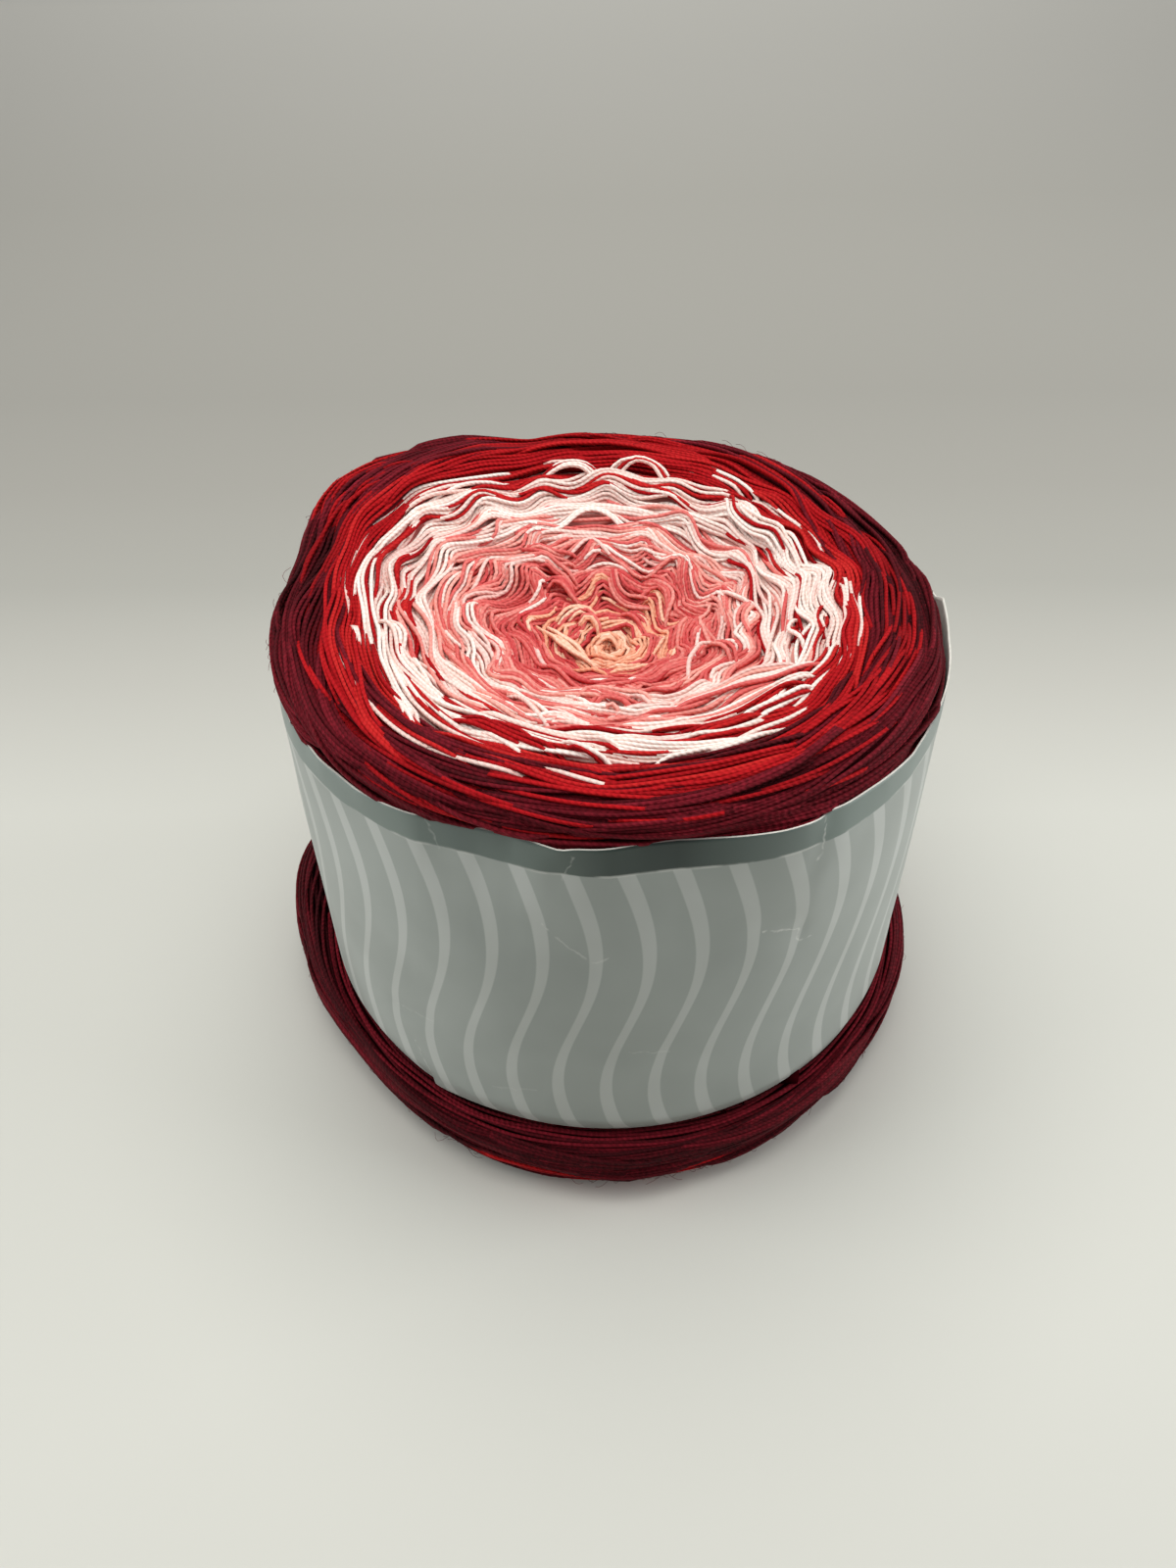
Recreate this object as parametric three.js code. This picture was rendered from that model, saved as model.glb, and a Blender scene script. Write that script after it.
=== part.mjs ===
import * as THREE from "three";

// A cake of fine yarn that stands on one end, with a paper band round its wall.
// Millimetres, +Z up, the foot at z = 0. Azimuths are in degrees: 0 is +X and -90 is the front.

const stepsAround = 96; // the cake and the band share these azimuths, so the gap between them is even
const stepAngle = 360 / stepsAround;

const paper = {
  radius: 64, // outside of the sheet, a straight strip wound into a ring
  thickness: 1,
  bottom: 17,
  top: 98,
  border: 6, // the strip at each edge that bends in over the yarn
  slackEnds: 62, // below this height the sheet runs true
  seamAt: 22, // the step at which the inner end starts, at the back
  overlapSteps: 4,
  rampSteps: 8, // the outer end climbs over the inner one along these
  layerGap: 0.4,
};
const paperHeights = [17, 20, 23, 62, 80, 92, 98];

// The band's upper end: its crease and its free edge, out from the true radius, and how far the
// edge dips
const paperTop = [
  { azimuth: -166, crease: 0.7, edge: -0.4, dip: 0.0 },
  { azimuth: -142, crease: 1.2, edge: -0.4, dip: 0.0 },
  { azimuth: -122, crease: 1.0, edge: -1.2, dip: 0.2 },
  { azimuth: -114, crease: 0.1, edge: -3.1, dip: 0.5 },
  { azimuth: -103, crease: -1.0, edge: -2.4, dip: 0.2 },
  { azimuth: -95, crease: -1.8, edge: -1.6, dip: 0.8 },
  { azimuth: -86, crease: -2.1, edge: -3.2, dip: 0.0 },
  { azimuth: -76, crease: -1.9, edge: -3.0, dip: 0.0 },
  { azimuth: -66, crease: -0.8, edge: -1.5, dip: 0.0 },
  { azimuth: -58, crease: 0.6, edge: 0.8, dip: 0.7 },
  { azimuth: -53, crease: 0.7, edge: 0.3, dip: 0.0 },
  { azimuth: -30, crease: 0.2, edge: 0.0, dip: 0.0 },
  { azimuth: 10, crease: 0.2, edge: 0.0, dip: 0.3 },
  { azimuth: 45, crease: 0.3, edge: -0.6, dip: 0.0 },
  { azimuth: 90, crease: -0.6, edge: -1.8, dip: 0.3 },
  { azimuth: 140, crease: 0.2, edge: -0.8, dip: 0.5 },
  { azimuth: 172, crease: 0.5, edge: -0.4, dip: 0.0 },
];

// Its lower edge, tucked in and a little short on the left, up to a nick
const paperFoot = [
  { azimuth: -170, lift: 1.0, tuck: 1.9 },
  { azimuth: -129, lift: 1.6, tuck: 2.2 },
  { azimuth: -124, lift: 0.0, tuck: 0.8 },
  { azimuth: -70, lift: 0.0, tuck: 1.2 },
  { azimuth: -20, lift: 0.0, tuck: 1.6 },
  { azimuth: 60, lift: 0.5, tuck: 1.8 },
  { azimuth: 150, lift: 0.8, tuck: 2.0 },
];

// How far the yarn stands out above the band, and how high its rim crests
const rimSections = [
  { azimuth: -145, reach: 62.6, crest: 105.0 },
  { azimuth: -90, reach: 60.6, crest: 104.4 },
  { azimuth: -45, reach: 62.2, crest: 104.0 },
  { azimuth: 0, reach: 62.9, crest: 102.6 },
  { azimuth: 35, reach: 62.2, crest: 101.8 },
  { azimuth: 75, reach: 61.8, crest: 103.6 },
  { azimuth: 105, reach: 63.2, crest: 105.8 },
  { azimuth: 138, reach: 66.2, crest: 109.4 },
  { azimuth: 172, reach: 63.8, crest: 107.0 },
];

// The skirt of yarn that spreads on the floor under the band, and how high its lip stands
const skirtSections = [
  { azimuth: -165, reach: 72.6, lip: 19.0 },
  { azimuth: -140, reach: 69.6, lip: 16.4 },
  { azimuth: -90, reach: 68.5, lip: 16.2 },
  { azimuth: -40, reach: 68.4, lip: 16.3 },
  { azimuth: 0, reach: 69.8, lip: 17.4 },
  { azimuth: 50, reach: 69.0, lip: 18.2 },
  { azimuth: 100, reach: 69.2, lip: 18.4 },
  { azimuth: 135, reach: 72.0, lip: 21.0 },
  { azimuth: 172, reach: 76.4, lip: 24.6 },
];

// The sunken top: the share of the fall from crest to crater floor that each radius has made
const craterSections = [
  { radius: 0, fall: 1.0 },
  { radius: 4.5, fall: 0.97 },
  { radius: 10, fall: 0.86 },
  { radius: 17, fall: 0.68 },
  { radius: 24.5, fall: 0.54 },
  { radius: 32, fall: 0.4 },
  { radius: 38.5, fall: 0.25 },
  { radius: 45, fall: 0.12 },
  { radius: 52, fall: 0.0 },
];

const yarn = {
  paperGap: 0.4, // clearance to the inside of the band
  footInset: 10, // the flat foot ends this far inside the skirt's reach
  craterFloor: 89.5,
  crownRadius: 54, // the ridged top lies inside this radius
  tuckHeight: 15, // where the skirt goes in under the band
};

// The main twists: nested waving ridges on the crown, and slanted ones round the rim and the skirt
const crownRidges = {
  count: 6,
  rows: 4, // rows of points to a ridge
  height: 1.1,
  broadLobes: 4,
  broadSway: 1.3,
  broadSwirl: 14, // ring radius over which the lobes turn by a radian
  fineLobes: 9,
  fineSway: 1.7,
  fineSwirl: 10,
};
const rimRidges = { rows: 7, pitch: 6.5, height: 0.35, turns: -5 };
const skirtRidges = { rows: 10, pitch: 8.6, height: 0.6, turns: 7 };

const { degToRad, lerp, smoothstep } = THREE.MathUtils;

// Reads a column of an azimuth table, which closes on itself.
function around(table, column, azimuth, ease = (share) => share) {
  const turn = (angle) => ((angle % 360) + 360) % 360;
  const next = (i) => table[(i + 1) % table.length];
  const i = table.findIndex((row, k) => turn(azimuth - row.azimuth) < turn(next(k).azimuth - row.azimuth));
  const share = turn(azimuth - table[i].azimuth) / turn(next(i).azimuth - table[i].azimuth);
  return lerp(table[i][column], next(i)[column], ease(share));
}

const rounded = (share) => share * share * (3 - 2 * share);

function craterHeight(radius, crest) {
  const i = Math.max(1, craterSections.findIndex((row) => row.radius >= radius));
  if (radius >= craterSections.at(-1).radius) return crest;
  const [inner, outer] = [craterSections[i - 1], craterSections[i]];
  const share = (radius - inner.radius) / (outer.radius - inner.radius);
  return lerp(crest, yarn.craterFloor, lerp(inner.fall, outer.fall, share));
}

// Outside radius of the sheet at a height, before the seam.
function paperRadius(azimuth, height) {
  const slack = smoothstep(height, paper.slackEnds, paper.top - paper.border);
  const crease = around(paperTop, "crease", azimuth) * slack;
  const fold = Math.max(0, (height - paper.top + paper.border) / paper.border);
  const edge = around(paperTop, "edge", azimuth);
  const tuck = around(paperFoot, "tuck", azimuth);
  const curl = 1 - smoothstep(height, paper.bottom - 1, paper.bottom + paper.border);
  return paper.radius + lerp(crease, edge, Math.min(fold, 1)) - tuck * curl;
}

// Rows spread evenly along a section, swollen by ridges that slant as they run round the cake.
function slantedRows(points, ridges, azimuth) {
  const section = new THREE.SplineCurve(points.map(([radius, height]) => new THREE.Vector2(radius, height)));
  const length = section.getLength();
  return Array.from({ length: ridges.rows + 1 }, (_, row) => {
    const share = row / ridges.rows;
    const point = section.getPointAt(share);
    const turn = (share * length) / ridges.pitch + (ridges.turns * azimuth) / 360;
    const swell = ridges.height * Math.cos(2 * Math.PI * turn) * Math.sin(Math.PI * share);
    const along = section.getTangentAt(share);
    return point.add(new THREE.Vector2(along.y, -along.x).multiplyScalar(swell));
  });
}

function skirtRows(azimuth) {
  const reach = around(skirtSections, "reach", azimuth, rounded);
  const lip = around(skirtSections, "lip", azimuth, rounded);
  const section = [
    [reach - yarn.footInset, 0],
    [reach - 4.2, 1.2],
    [reach - 0.8, lip * 0.3],
    [reach - 0.2, lip * 0.62],
    [Math.max(66.2, lerp(paper.radius, reach, 0.62)), lip - 0.6],
    [65, lerp(yarn.tuckHeight, lip, 0.55)],
    [paperRadius(azimuth, paper.bottom) - 2, yarn.tuckHeight],
  ];
  return slantedRows(section, skirtRidges, azimuth);
}

function wallRows(azimuth) {
  const heights = [18.6, ...paperHeights.slice(2, -1), paper.top - 0.5];
  return heights.map((height) => {
    const radius = paperRadius(azimuth, height) - paper.thickness - yarn.paperGap;
    return new THREE.Vector2(radius, height);
  });
}

function rimRows(azimuth) {
  const reach = around(rimSections, "reach", azimuth, rounded);
  const crest = around(rimSections, "crest", azimuth, rounded);
  const rise = (share) => lerp(paper.top, crest, share);
  const section = [
    [Math.min(reach, paper.radius) - 1.2, rise(0) + 1.2],
    [reach, rise(0.42)],
    [reach - 1.6, rise(0.74)],
    [reach - 4.6, rise(0.95)],
    [yarn.crownRadius + 1.5, crest],
  ];
  return slantedRows(section, rimRidges, azimuth);
}

// The crown's rows run along the ridges: every fourth one is a crest.
function crownRows(azimuth) {
  const crest = around(rimSections, "crest", azimuth, rounded);
  const count = crownRidges.count * crownRidges.rows;
  const angle = degToRad(azimuth);
  return Array.from({ length: count }, (_, row) => {
    const ring = yarn.crownRadius * (1 - row / count);
    const broad = Math.sin(crownRidges.broadLobes * angle + ring / crownRidges.broadSwirl);
    const fine = Math.sin(crownRidges.fineLobes * angle + ring / crownRidges.fineSwirl);
    const sway = crownRidges.broadSway * broad + crownRidges.fineSway * fine;
    const calm = smoothstep(ring, 2, 26) * (1 - smoothstep(ring, 38, 54));
    const radius = ring + sway * calm;
    const ridge = crownRidges.height * Math.cos((2 * Math.PI * (row - 1)) / crownRidges.rows);
    return new THREE.Vector2(radius, craterHeight(radius, crest) + ridge * smoothstep(ring, 0, 9));
  });
}

function outline(azimuth) {
  return [
    new THREE.Vector2(0, 0),
    ...skirtRows(azimuth),
    ...wallRows(azimuth),
    ...rimRows(azimuth),
    ...crownRows(azimuth),
    new THREE.Vector2(0, yarn.craterFloor),
  ];
}

// A lathe turned from the front's outline, whose columns then take the outline of their own azimuth.
function yarnCake() {
  const profile = outline(-90);
  const shape = new THREE.LatheGeometry(profile, stepsAround);
  const position = shape.attributes.position;
  for (let step = 0; step <= stepsAround; step += 1) {
    const azimuth = (step % stepsAround) * stepAngle;
    outline(azimuth).forEach(({ x: radius, y: height }, row) => {
      const angle = degToRad(azimuth);
      const i = step * profile.length + row;
      position.setXYZ(i, radius * Math.cos(angle), radius * Math.sin(angle), height);
    });
  }
  return shape;
}

// A flat strip rolled into a ring; its outer end overlaps the inner one.
function paperBand() {
  const steps = stepsAround + paper.overlapSteps;
  const rise = paperHeights.length - 1;
  const shape = new THREE.BoxGeometry(steps, rise, 1, steps, rise, 1);
  const position = shape.attributes.position;
  for (let i = 0; i < position.count; i += 1) {
    const step = Math.round(position.getX(i) + steps / 2);
    const level = Math.round(position.getY(i) + rise / 2);
    const azimuth = (paper.seamAt + step) * stepAngle;
    let height = paperHeights[level];
    if (level === 0) height += around(paperFoot, "lift", azimuth);
    if (level === rise) height -= around(paperTop, "dip", azimuth);
    const climb = smoothstep(step, stepsAround - paper.rampSteps, stepsAround);
    const inner = paperRadius(azimuth, height) - paper.thickness + climb * (paper.thickness + paper.layerGap);
    const radius = position.getZ(i) > 0 ? inner + paper.thickness : inner;
    const angle = degToRad(azimuth);
    position.setXYZ(i, radius * Math.cos(angle), radius * Math.sin(angle), height);
  }
  return shape;
}

function piece(name, geometry, finish) {
  geometry.computeVertexNormals();
  const mesh = new THREE.Mesh(geometry, new THREE.MeshStandardMaterial(finish));
  mesh.name = name;
  return mesh;
}

const cake = piece("yarn_cake", yarnCake(), { color: 0x8c1c2c, roughness: 0.9, metalness: 0 });
const band = piece("paper_band", paperBand(), { color: 0xa9aeaa, roughness: 0.35, metalness: 0 });

const model = new THREE.Group();
model.add(cake, band);

// The origin is the middle of the outline, on the floor.
const middle = new THREE.Box3().setFromObject(model).getCenter(new THREE.Vector3());
cake.position.set(-middle.x, -middle.y, 0);
band.position.set(-middle.x, -middle.y, 0);

export default model;
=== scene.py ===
from math import cos, degrees, pi, radians, sin

import bpy
import numpy as np
from mathutils import Matrix, Vector
from mathutils.bvhtree import BVHTree


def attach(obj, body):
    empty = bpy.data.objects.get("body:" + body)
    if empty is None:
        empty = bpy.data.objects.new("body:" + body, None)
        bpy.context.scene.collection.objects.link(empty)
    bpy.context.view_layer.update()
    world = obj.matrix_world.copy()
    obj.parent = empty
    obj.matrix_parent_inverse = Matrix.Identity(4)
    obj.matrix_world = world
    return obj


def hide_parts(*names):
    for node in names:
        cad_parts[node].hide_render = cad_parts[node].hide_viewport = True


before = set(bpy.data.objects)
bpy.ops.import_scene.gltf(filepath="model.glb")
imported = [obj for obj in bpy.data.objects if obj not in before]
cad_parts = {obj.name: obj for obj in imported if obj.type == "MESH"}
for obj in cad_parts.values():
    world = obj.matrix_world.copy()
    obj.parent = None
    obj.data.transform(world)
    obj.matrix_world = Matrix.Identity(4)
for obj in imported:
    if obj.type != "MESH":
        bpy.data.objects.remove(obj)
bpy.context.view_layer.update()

scene = bpy.context.scene
mm = 0.001
tau = 2 * pi

# Azimuths are in degrees round the winding axis: 0 is +X and -90 is the front. Lengths are in mm.
cake = {
    "axis": (2.92, -0.02),         # where the winding axis stands in the frame
    "readings": 180,               # places round the cake where its surface is read
    "crown": 56.0,                 # inside this radius the top is read straight down
    "rimFocus": (50.0, 92.0),      # radius and height from which the rim is read
    "rimArc": 26.0,                # length of the rim's section, down behind the paper
    "rimSweep": (66, -6),          # degrees above level between which the rim is read
    "rimStarts": (46, 58),         # rings over which the crown goes over into the rim
    "wallFrom": 68.0,              # from here on the yarn swells out against the paper
    "wallSwell": 0.6,
    "skirtFocus": (63.6, 8.2),
    "skirtArc": 27.0,
    "skirtSweep": (-112, 84),
    "skirtRadius": 68.0,           # mean radius, for lengths round it
}
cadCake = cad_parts["yarn_cake"]
cadTree = BVHTree.FromObject(cadCake, bpy.context.evaluated_depsgraph_get())


def smooth(x, low, high):
    t = np.clip((np.asarray(x, float) - low) / (high - low), 0, 1)
    return t * t * (3 - 2 * t)


def around(rows, azimuth):  # rows of (azimuth, value), closed on itself
    table = sorted(rows)
    at = [a for a, v in table]
    return np.interp((np.asarray(azimuth, float) - at[0]) % 360 + at[0],
                     at + [at[0] + 360], [v for a, v in table] + [table[0][1]])


def wander(seed, lobes, swirl, terms=9):  # a smooth random field round the axis, about -1 to 1
    rng = np.random.default_rng(seed)
    low, high = lobes
    counts = rng.integers(low, high + 1, terms)
    twist = rng.uniform(-1, 1, terms) / swirl
    start = rng.uniform(0, tau, terms)
    share = rng.uniform(0.6, 1, terms)

    def field(angle, ring):
        total = 0
        for n, k, p, a in zip(counts, twist, start, share):
            total = total + a * np.sin(n * angle + k * ring + p)
        return total / np.sqrt(0.5 * (share ** 2).sum()) / 1.6

    return field


def column(table, index, azimuth):
    return around([(row[0], row[index]) for row in table], azimuth)


# the paper band's form comes first, because it holds the yarn in
paper = {
    "radius": 64.0,
    "thickness": 0.30,
    "bottom": 17.0,
    "top": 98.0,
    "border": 5.6,        # the darker strip along the top, and the depth of the fold
    "seamAt": 82.5,       # the inner end starts here, and the outer end lies over it
    "overlap": 15.0,      # degrees
    "ramp": 30.0,         # degrees over which the outer end climbs onto the inner one
    "layerGap": 0.12,
    "creaseFrom": 62.0,   # above this the wall leans in or out towards the crease
    "slack": 0.22,        # how far the sheet buckles halfway up
    "dentWidth": 2.6,
    "stepsAlong": 400,
    "stepsUp": 48,
    "stripePitch": 9.1,   # mm from one pale stripe to the next
    "stripeWidth": 2.35,  # and how much that swells and thins along its wave
    "stripeSwell": 0.65,
    "stripeSway": 3.8,
    "stripePeriod": 76.0,
    "stripeCrest": 55.5,  # mm up the sheet to where it stands furthest to the right
    "stripeAt": 4.9,
    "printEdge": 0.12,    # mm over which the print's edges blur
    "roughness": 0.38,
    "ior": 1.5,
}
# at the upper end: azimuth, then how far out the crease and the free edge stand, and the edge's dip
paperTop = [
    (-175, -1.2, -2.2, 0.0), (-164, -0.8, -1.5, 0.0), (-150, -0.2, -0.6, 0.0), (-145, -0.2, -0.95, 0.0),
    (-140, -0.3, -0.6, 0.0), (-135, -0.35, -0.8, 0.0), (-130, -0.7, -0.6, 0.0), (-125, -0.8, -1.0, 0.0),
    (-120, -1.05, -1.5, 0.0), (-115, -2.1, -2.8, 0.0), (-110, -2.8, -3.4, 0.0), (-105, -2.55, -3.6, 0.0),
    (-100, -1.7, -2.4, 0.0), (-97, -1.6, -1.5, 0.1), (-95, -1.55, -1.7, 0.0), (-90, -1.6, -2.3, 0.0),
    (-85, -2.3, -3.3, 0.0), (-80, -2.4, -3.3, 0.0), (-75, -1.7, -2.5, 0.0), (-70, -0.8, -1.3, 0.0),
    (-65, 0.1, -0.1, 0.0), (-62, 0.5, 0.3, 0.0), (-58.4, 1.0, 0.5, 0.4), (-57.6, 1.2, 0.15, 0.0),
    (-50, 0.8, 0.1, 0.0), (-45, 0.7, 0.3, 0.0), (-38, 0.5, 0.2, 0.6), (-36, 0.3, 0.15, 0.0),
    (-30, 0.1, -0.2, 0.0), (-18, -0.3, -0.4, 0.0), (-8, -0.8, -0.6, 0.0), (2, -0.8, -0.3, -1.4),
    (5, -0.8, -0.5, 0.6), (12, -0.8, -1.0, 0.1), (18, -0.8, -0.9, 0.9), (24, -0.7, -0.6, -0.5),
    (27, -0.6, -1.2, 0.4), (45, 0.3, -0.6, 0.0), (90, -0.6, -1.8, 0.3), (140, -0.2, -1.2, 0.5),
]
# at the lower end: azimuth, how far up it stops and how far in it is tucked
paperFoot = [
    (-170, 2.0, 1.6), (-150, 2.6, 1.6), (-140, 2.2, 1.5), (-130, 1.6, 1.2), (-125.5, 0.9, 1.1),
    (-124.6, 0.2, 0.3), (-118, 0.8, 0.7), (-110, 1.0, 1.1), (-90, 1.0, 1.4), (-70, 1.2, 1.5),
    (-50, 1.0, 1.4), (-40, 0.6, 1.2), (-20, 0.3, 1.2), (60, 0.5, 1.4), (150, 0.8, 1.4),
]
# creases in the sheet: azimuth and height of both ends, how deep the dent is, and how worn the line
paperCreases = [
    ((-101, 80.5), (-92.5, 71.5), 0.30, 0.5), ((-92.5, 71.5), (-90.5, 73), 0.1, 0.5),
    ((-66, 74), (-59.5, 70.8), 0.30, 0.8), ((-59.5, 70.8), (-59, 67), 0.15, 0.9),
    ((-59, 67), (-56.5, 66.6), 0.1, 0.6), ((-57.8, 97.5), (-58.4, 88.5), 0.45, 0.7),
    ((-87, 46), (-80, 45.2), 0.2, 0.35), ((-131, 40), (-122, 42), 0.25, 0.3),
    ((-95, 97.5), (-97, 91), 0.3, 0.4), ((-118, 97.5), (-116.5, 92), 0.3, 0.3),
    ((-128, 30), (-125, 20), 0.3, 0.5), ((-111, 28), (-103, 31), 0.2, 0.25),
    ((20, 70), (36, 58), 0.3, 0.4), ((-20, 36), (-8, 30), 0.25, 0.3),
]


sheetHeight = paper["top"] - paper["bottom"]
upperFold = sheetHeight - paper["border"]


def onStrip(azimuth, height):  # the same spot in mm along and up the flat strip
    unrolled = (azimuth - paper["seamAt"]) % 360 + paper["seamAt"]
    return radians(unrolled) * paper["radius"], height - paper["bottom"]


paperSlack = wander(31, (2, 7), 30.0)


def sheetRadius(azimuth, height):
    foldAt = paper["top"] - paper["border"]
    crease = column(paperTop, 1, azimuth) * smooth(height, paper["creaseFrom"], foldAt)
    fold = np.clip((height - paper["top"] + paper["border"]) / paper["border"], 0, 1)
    out = crease * (1 - fold) + column(paperTop, 2, azimuth) * fold
    tuck = column(paperFoot, 2, azimuth) * (1 - smooth(height, paper["bottom"] - 1, paper["bottom"] + 6))
    slack = paper["slack"] * paperSlack(np.radians(azimuth), height)
    slack = slack * np.sin(pi * np.clip((height - paper["bottom"]) / sheetHeight, 0, 1))
    dents = 0
    scale = radians(1) * paper["radius"]
    for (a0, h0), (a1, h1), depth, _ in paperCreases:
        dx, dy = (a1 - a0) * scale, h1 - h0
        px, py = ((azimuth - a0 + 180) % 360 - 180) * scale, height - h0
        t = np.clip((px * dx + py * dy) / (dx * dx + dy * dy), 0, 1)
        dents = dents - depth * np.exp(-(np.hypot(px - t * dx, py - t * dy) / paper["dentWidth"]) ** 2)
    return paper["radius"] + out - tuck + slack + dents


# the cake's surface is read from the solid once, and then looked up
def hit(origin, direction):
    spot = cadTree.ray_cast(Vector(origin) * mm, Vector(direction))[0]
    if spot is None:
        return None
    return spot.x / mm - cake["axis"][0], spot.y / mm - cake["axis"][1], spot.z / mm


def readSection(lines, side=1):  # lines: (radius, height, out, up) of each reading ray
    steps = cake["readings"]
    radius, height = np.zeros((steps, len(lines))), np.zeros((steps, len(lines)))
    for i in range(steps):
        c, s = cos(tau * i / steps), sin(tau * i / steps)
        for j, (r, z, out, up) in enumerate(lines):
            spot = hit((cake["axis"][0] + r * c, cake["axis"][1] + r * s, z), (out * c, out * s, up))
            radius[i, j] = r if spot is None else np.hypot(spot[0], spot[1])
            height[i, j] = z if spot is None else spot[2]
    for _ in range(3):  # takes the facets off
        for grid in (radius, height):
            grid[:] = (np.roll(grid, 1, 0) + 2 * grid + np.roll(grid, -1, 0)) / 4
            grid[:, 1:-1] = (grid[:, :-2] + 2 * grid[:, 1:-1] + grid[:, 2:]) / 4
    outward, upward = np.gradient(radius, axis=1), np.gradient(height, axis=1)
    length = np.hypot(outward, upward) + 1e-9
    return {"radius": radius, "height": height, "steps": steps,
            "leanOut": -side * upward / length, "leanUp": side * outward / length}


def lookUp(section, grid, angle, place):
    a = np.asarray(angle / tau * section["steps"])
    i, fa = np.floor(a).astype(int), a - np.floor(a)
    p = np.clip(place, 0, section[grid].shape[1] - 1.001)
    j, fp = np.floor(p).astype(int), p - np.floor(p)
    g, n = section[grid], section["steps"]
    near = g[i % n, j] * (1 - fp) + g[i % n, j + 1] * fp
    far = g[(i + 1) % n, j] * (1 - fp) + g[(i + 1) % n, j + 1] * fp
    return near * (1 - fa) + far * fa


def onSection(section, angle, place, lift):  # points and outward normals, in frame millimetres
    lean, up = (lookUp(section, g, angle, place) for g in ("leanOut", "leanUp"))
    r = lookUp(section, "radius", angle, place) + lean * lift
    z = lookUp(section, "height", angle, place) + up * lift
    c, s = np.cos(angle), np.sin(angle)
    points = np.stack([cake["axis"][0] + r * c, cake["axis"][1] + r * s, z], -1)
    return points, np.stack([lean * c, lean * s, up], -1)


def crownLines():  # one line a millimetre: straight down on the crown, then fanned out over the rim
    lines = [(max(r, 0.05), 200, 0, -1) for r in np.arange(0, cake["crown"], 1.0)]
    r, z = cake["rimFocus"]
    first, last = (radians(d) for d in cake["rimSweep"])
    for t in np.linspace(0, 1, int(cake["rimArc"]) + 1)[1:]:
        a = first + (last - first) * t
        lines.append((r, z, cos(a), sin(a)))
    return lines


def skirtLines():  # from the floor out, up and in under the paper
    r, z = cake["skirtFocus"]
    angles = np.radians(np.linspace(*cake["skirtSweep"], int(cake["skirtArc"]) + 1))
    return [(r, z, cos(a), sin(a)) for a in angles]


crownSection = readSection(crownLines())
skirtSection = readSection(skirtLines(), -1)
print("surface read: crown", crownSection["radius"].shape, "skirt", skirtSection["radius"].shape)


def colour(hexValue):
    parts = [int(hexValue[i:i + 2], 16) / 255 for i in (1, 3, 5)]
    return [c / 12.92 if c <= 0.04045 else ((c + 0.055) / 1.055) ** 2.4 for c in parts] + [1.0]


def node(material, kind, links=None, sockets=None, **settings):
    tree = material.node_tree
    made = tree.nodes.new("ShaderNode" + kind)
    for name, value in settings.items():
        setattr(made, name, value)
    for socket, value in (sockets or {}).items():
        made.inputs[socket].default_value = value
    for socket, source in (links or {}).items():
        tree.links.new(source, made.inputs[socket])
    return made


def newMaterial(name):
    material = bpy.data.materials.new(name)
    material.use_nodes = True
    material.node_tree.nodes.clear()
    return material


def finishMaterial(material, shader):
    out = material.node_tree.nodes.new("ShaderNodeOutputMaterial")
    material.node_tree.links.new(shader.outputs[0], out.inputs["Surface"])
    return material


def ramp(material, factor, stops):
    made = node(material, "ValToRGB", {"Fac": factor})
    elements = made.color_ramp.elements
    while len(elements) < len(stops):
        elements.new(0.5)
    for element, (position, shade) in zip(elements, stops):
        element.position, element.color = position, colour(shade) if isinstance(shade, str) else shade
    return made


thread = {
    "width": 0.86,        # mm from corner to corner of one spun thread
    "spacing": 0.76,      # mm between threads that lie side by side
    "inYarn": 4,          # threads held together as one yarn
    "segment": 1.4,       # mm between two points of a thread
    "coarserFrom": 48,    # from this ring outward they stand further apart
    "coarser": 1.7,
    "skirtCoarser": 1.75,
    "sides": 4,
    "mapRows": 170,       # rows in which the second map lays the threads
    "plyLength": 2.3,     # mm for one turn of the two plies
    "roughness": 0.82,
    "ior": 1.53,          # cotton and acrylic fibre
}

# each colour's tones, from shaded and saturated to the lightest threads
yarnTones = {
    "peach": ("#EB9C80", "#F7BA9C", "#FCDDC6"),
    "pink": ("#CD4D50", "#E2726F", "#F5B5AA"),
    "white": ("#EDBAB4", "#F7E1DA", "#FFF8F2"),
    "red": ("#8C0610", "#B41019", "#D02C2A"),
    "burgundy": ("#3A040C", "#640C1A", "#8C1C2C"),
}


# the painted shade that the dye's colour is multiplied by in a thread's grooves and on its flanks, and how
# uneven the dye is
yarnPaintedShadeAndHaze = {
    "peach": ((1.0, 0.84, 0.78), 0.3), "pink": ((1.0, 0.78, 0.75), 0.35), "white": ((0.98, 0.83, 0.8), 0.3),
    "red": ((0.7, 0.45, 0.45), 0.4), "burgundy": ((0.6, 0.5, 0.5), 0.7),
}


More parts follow.
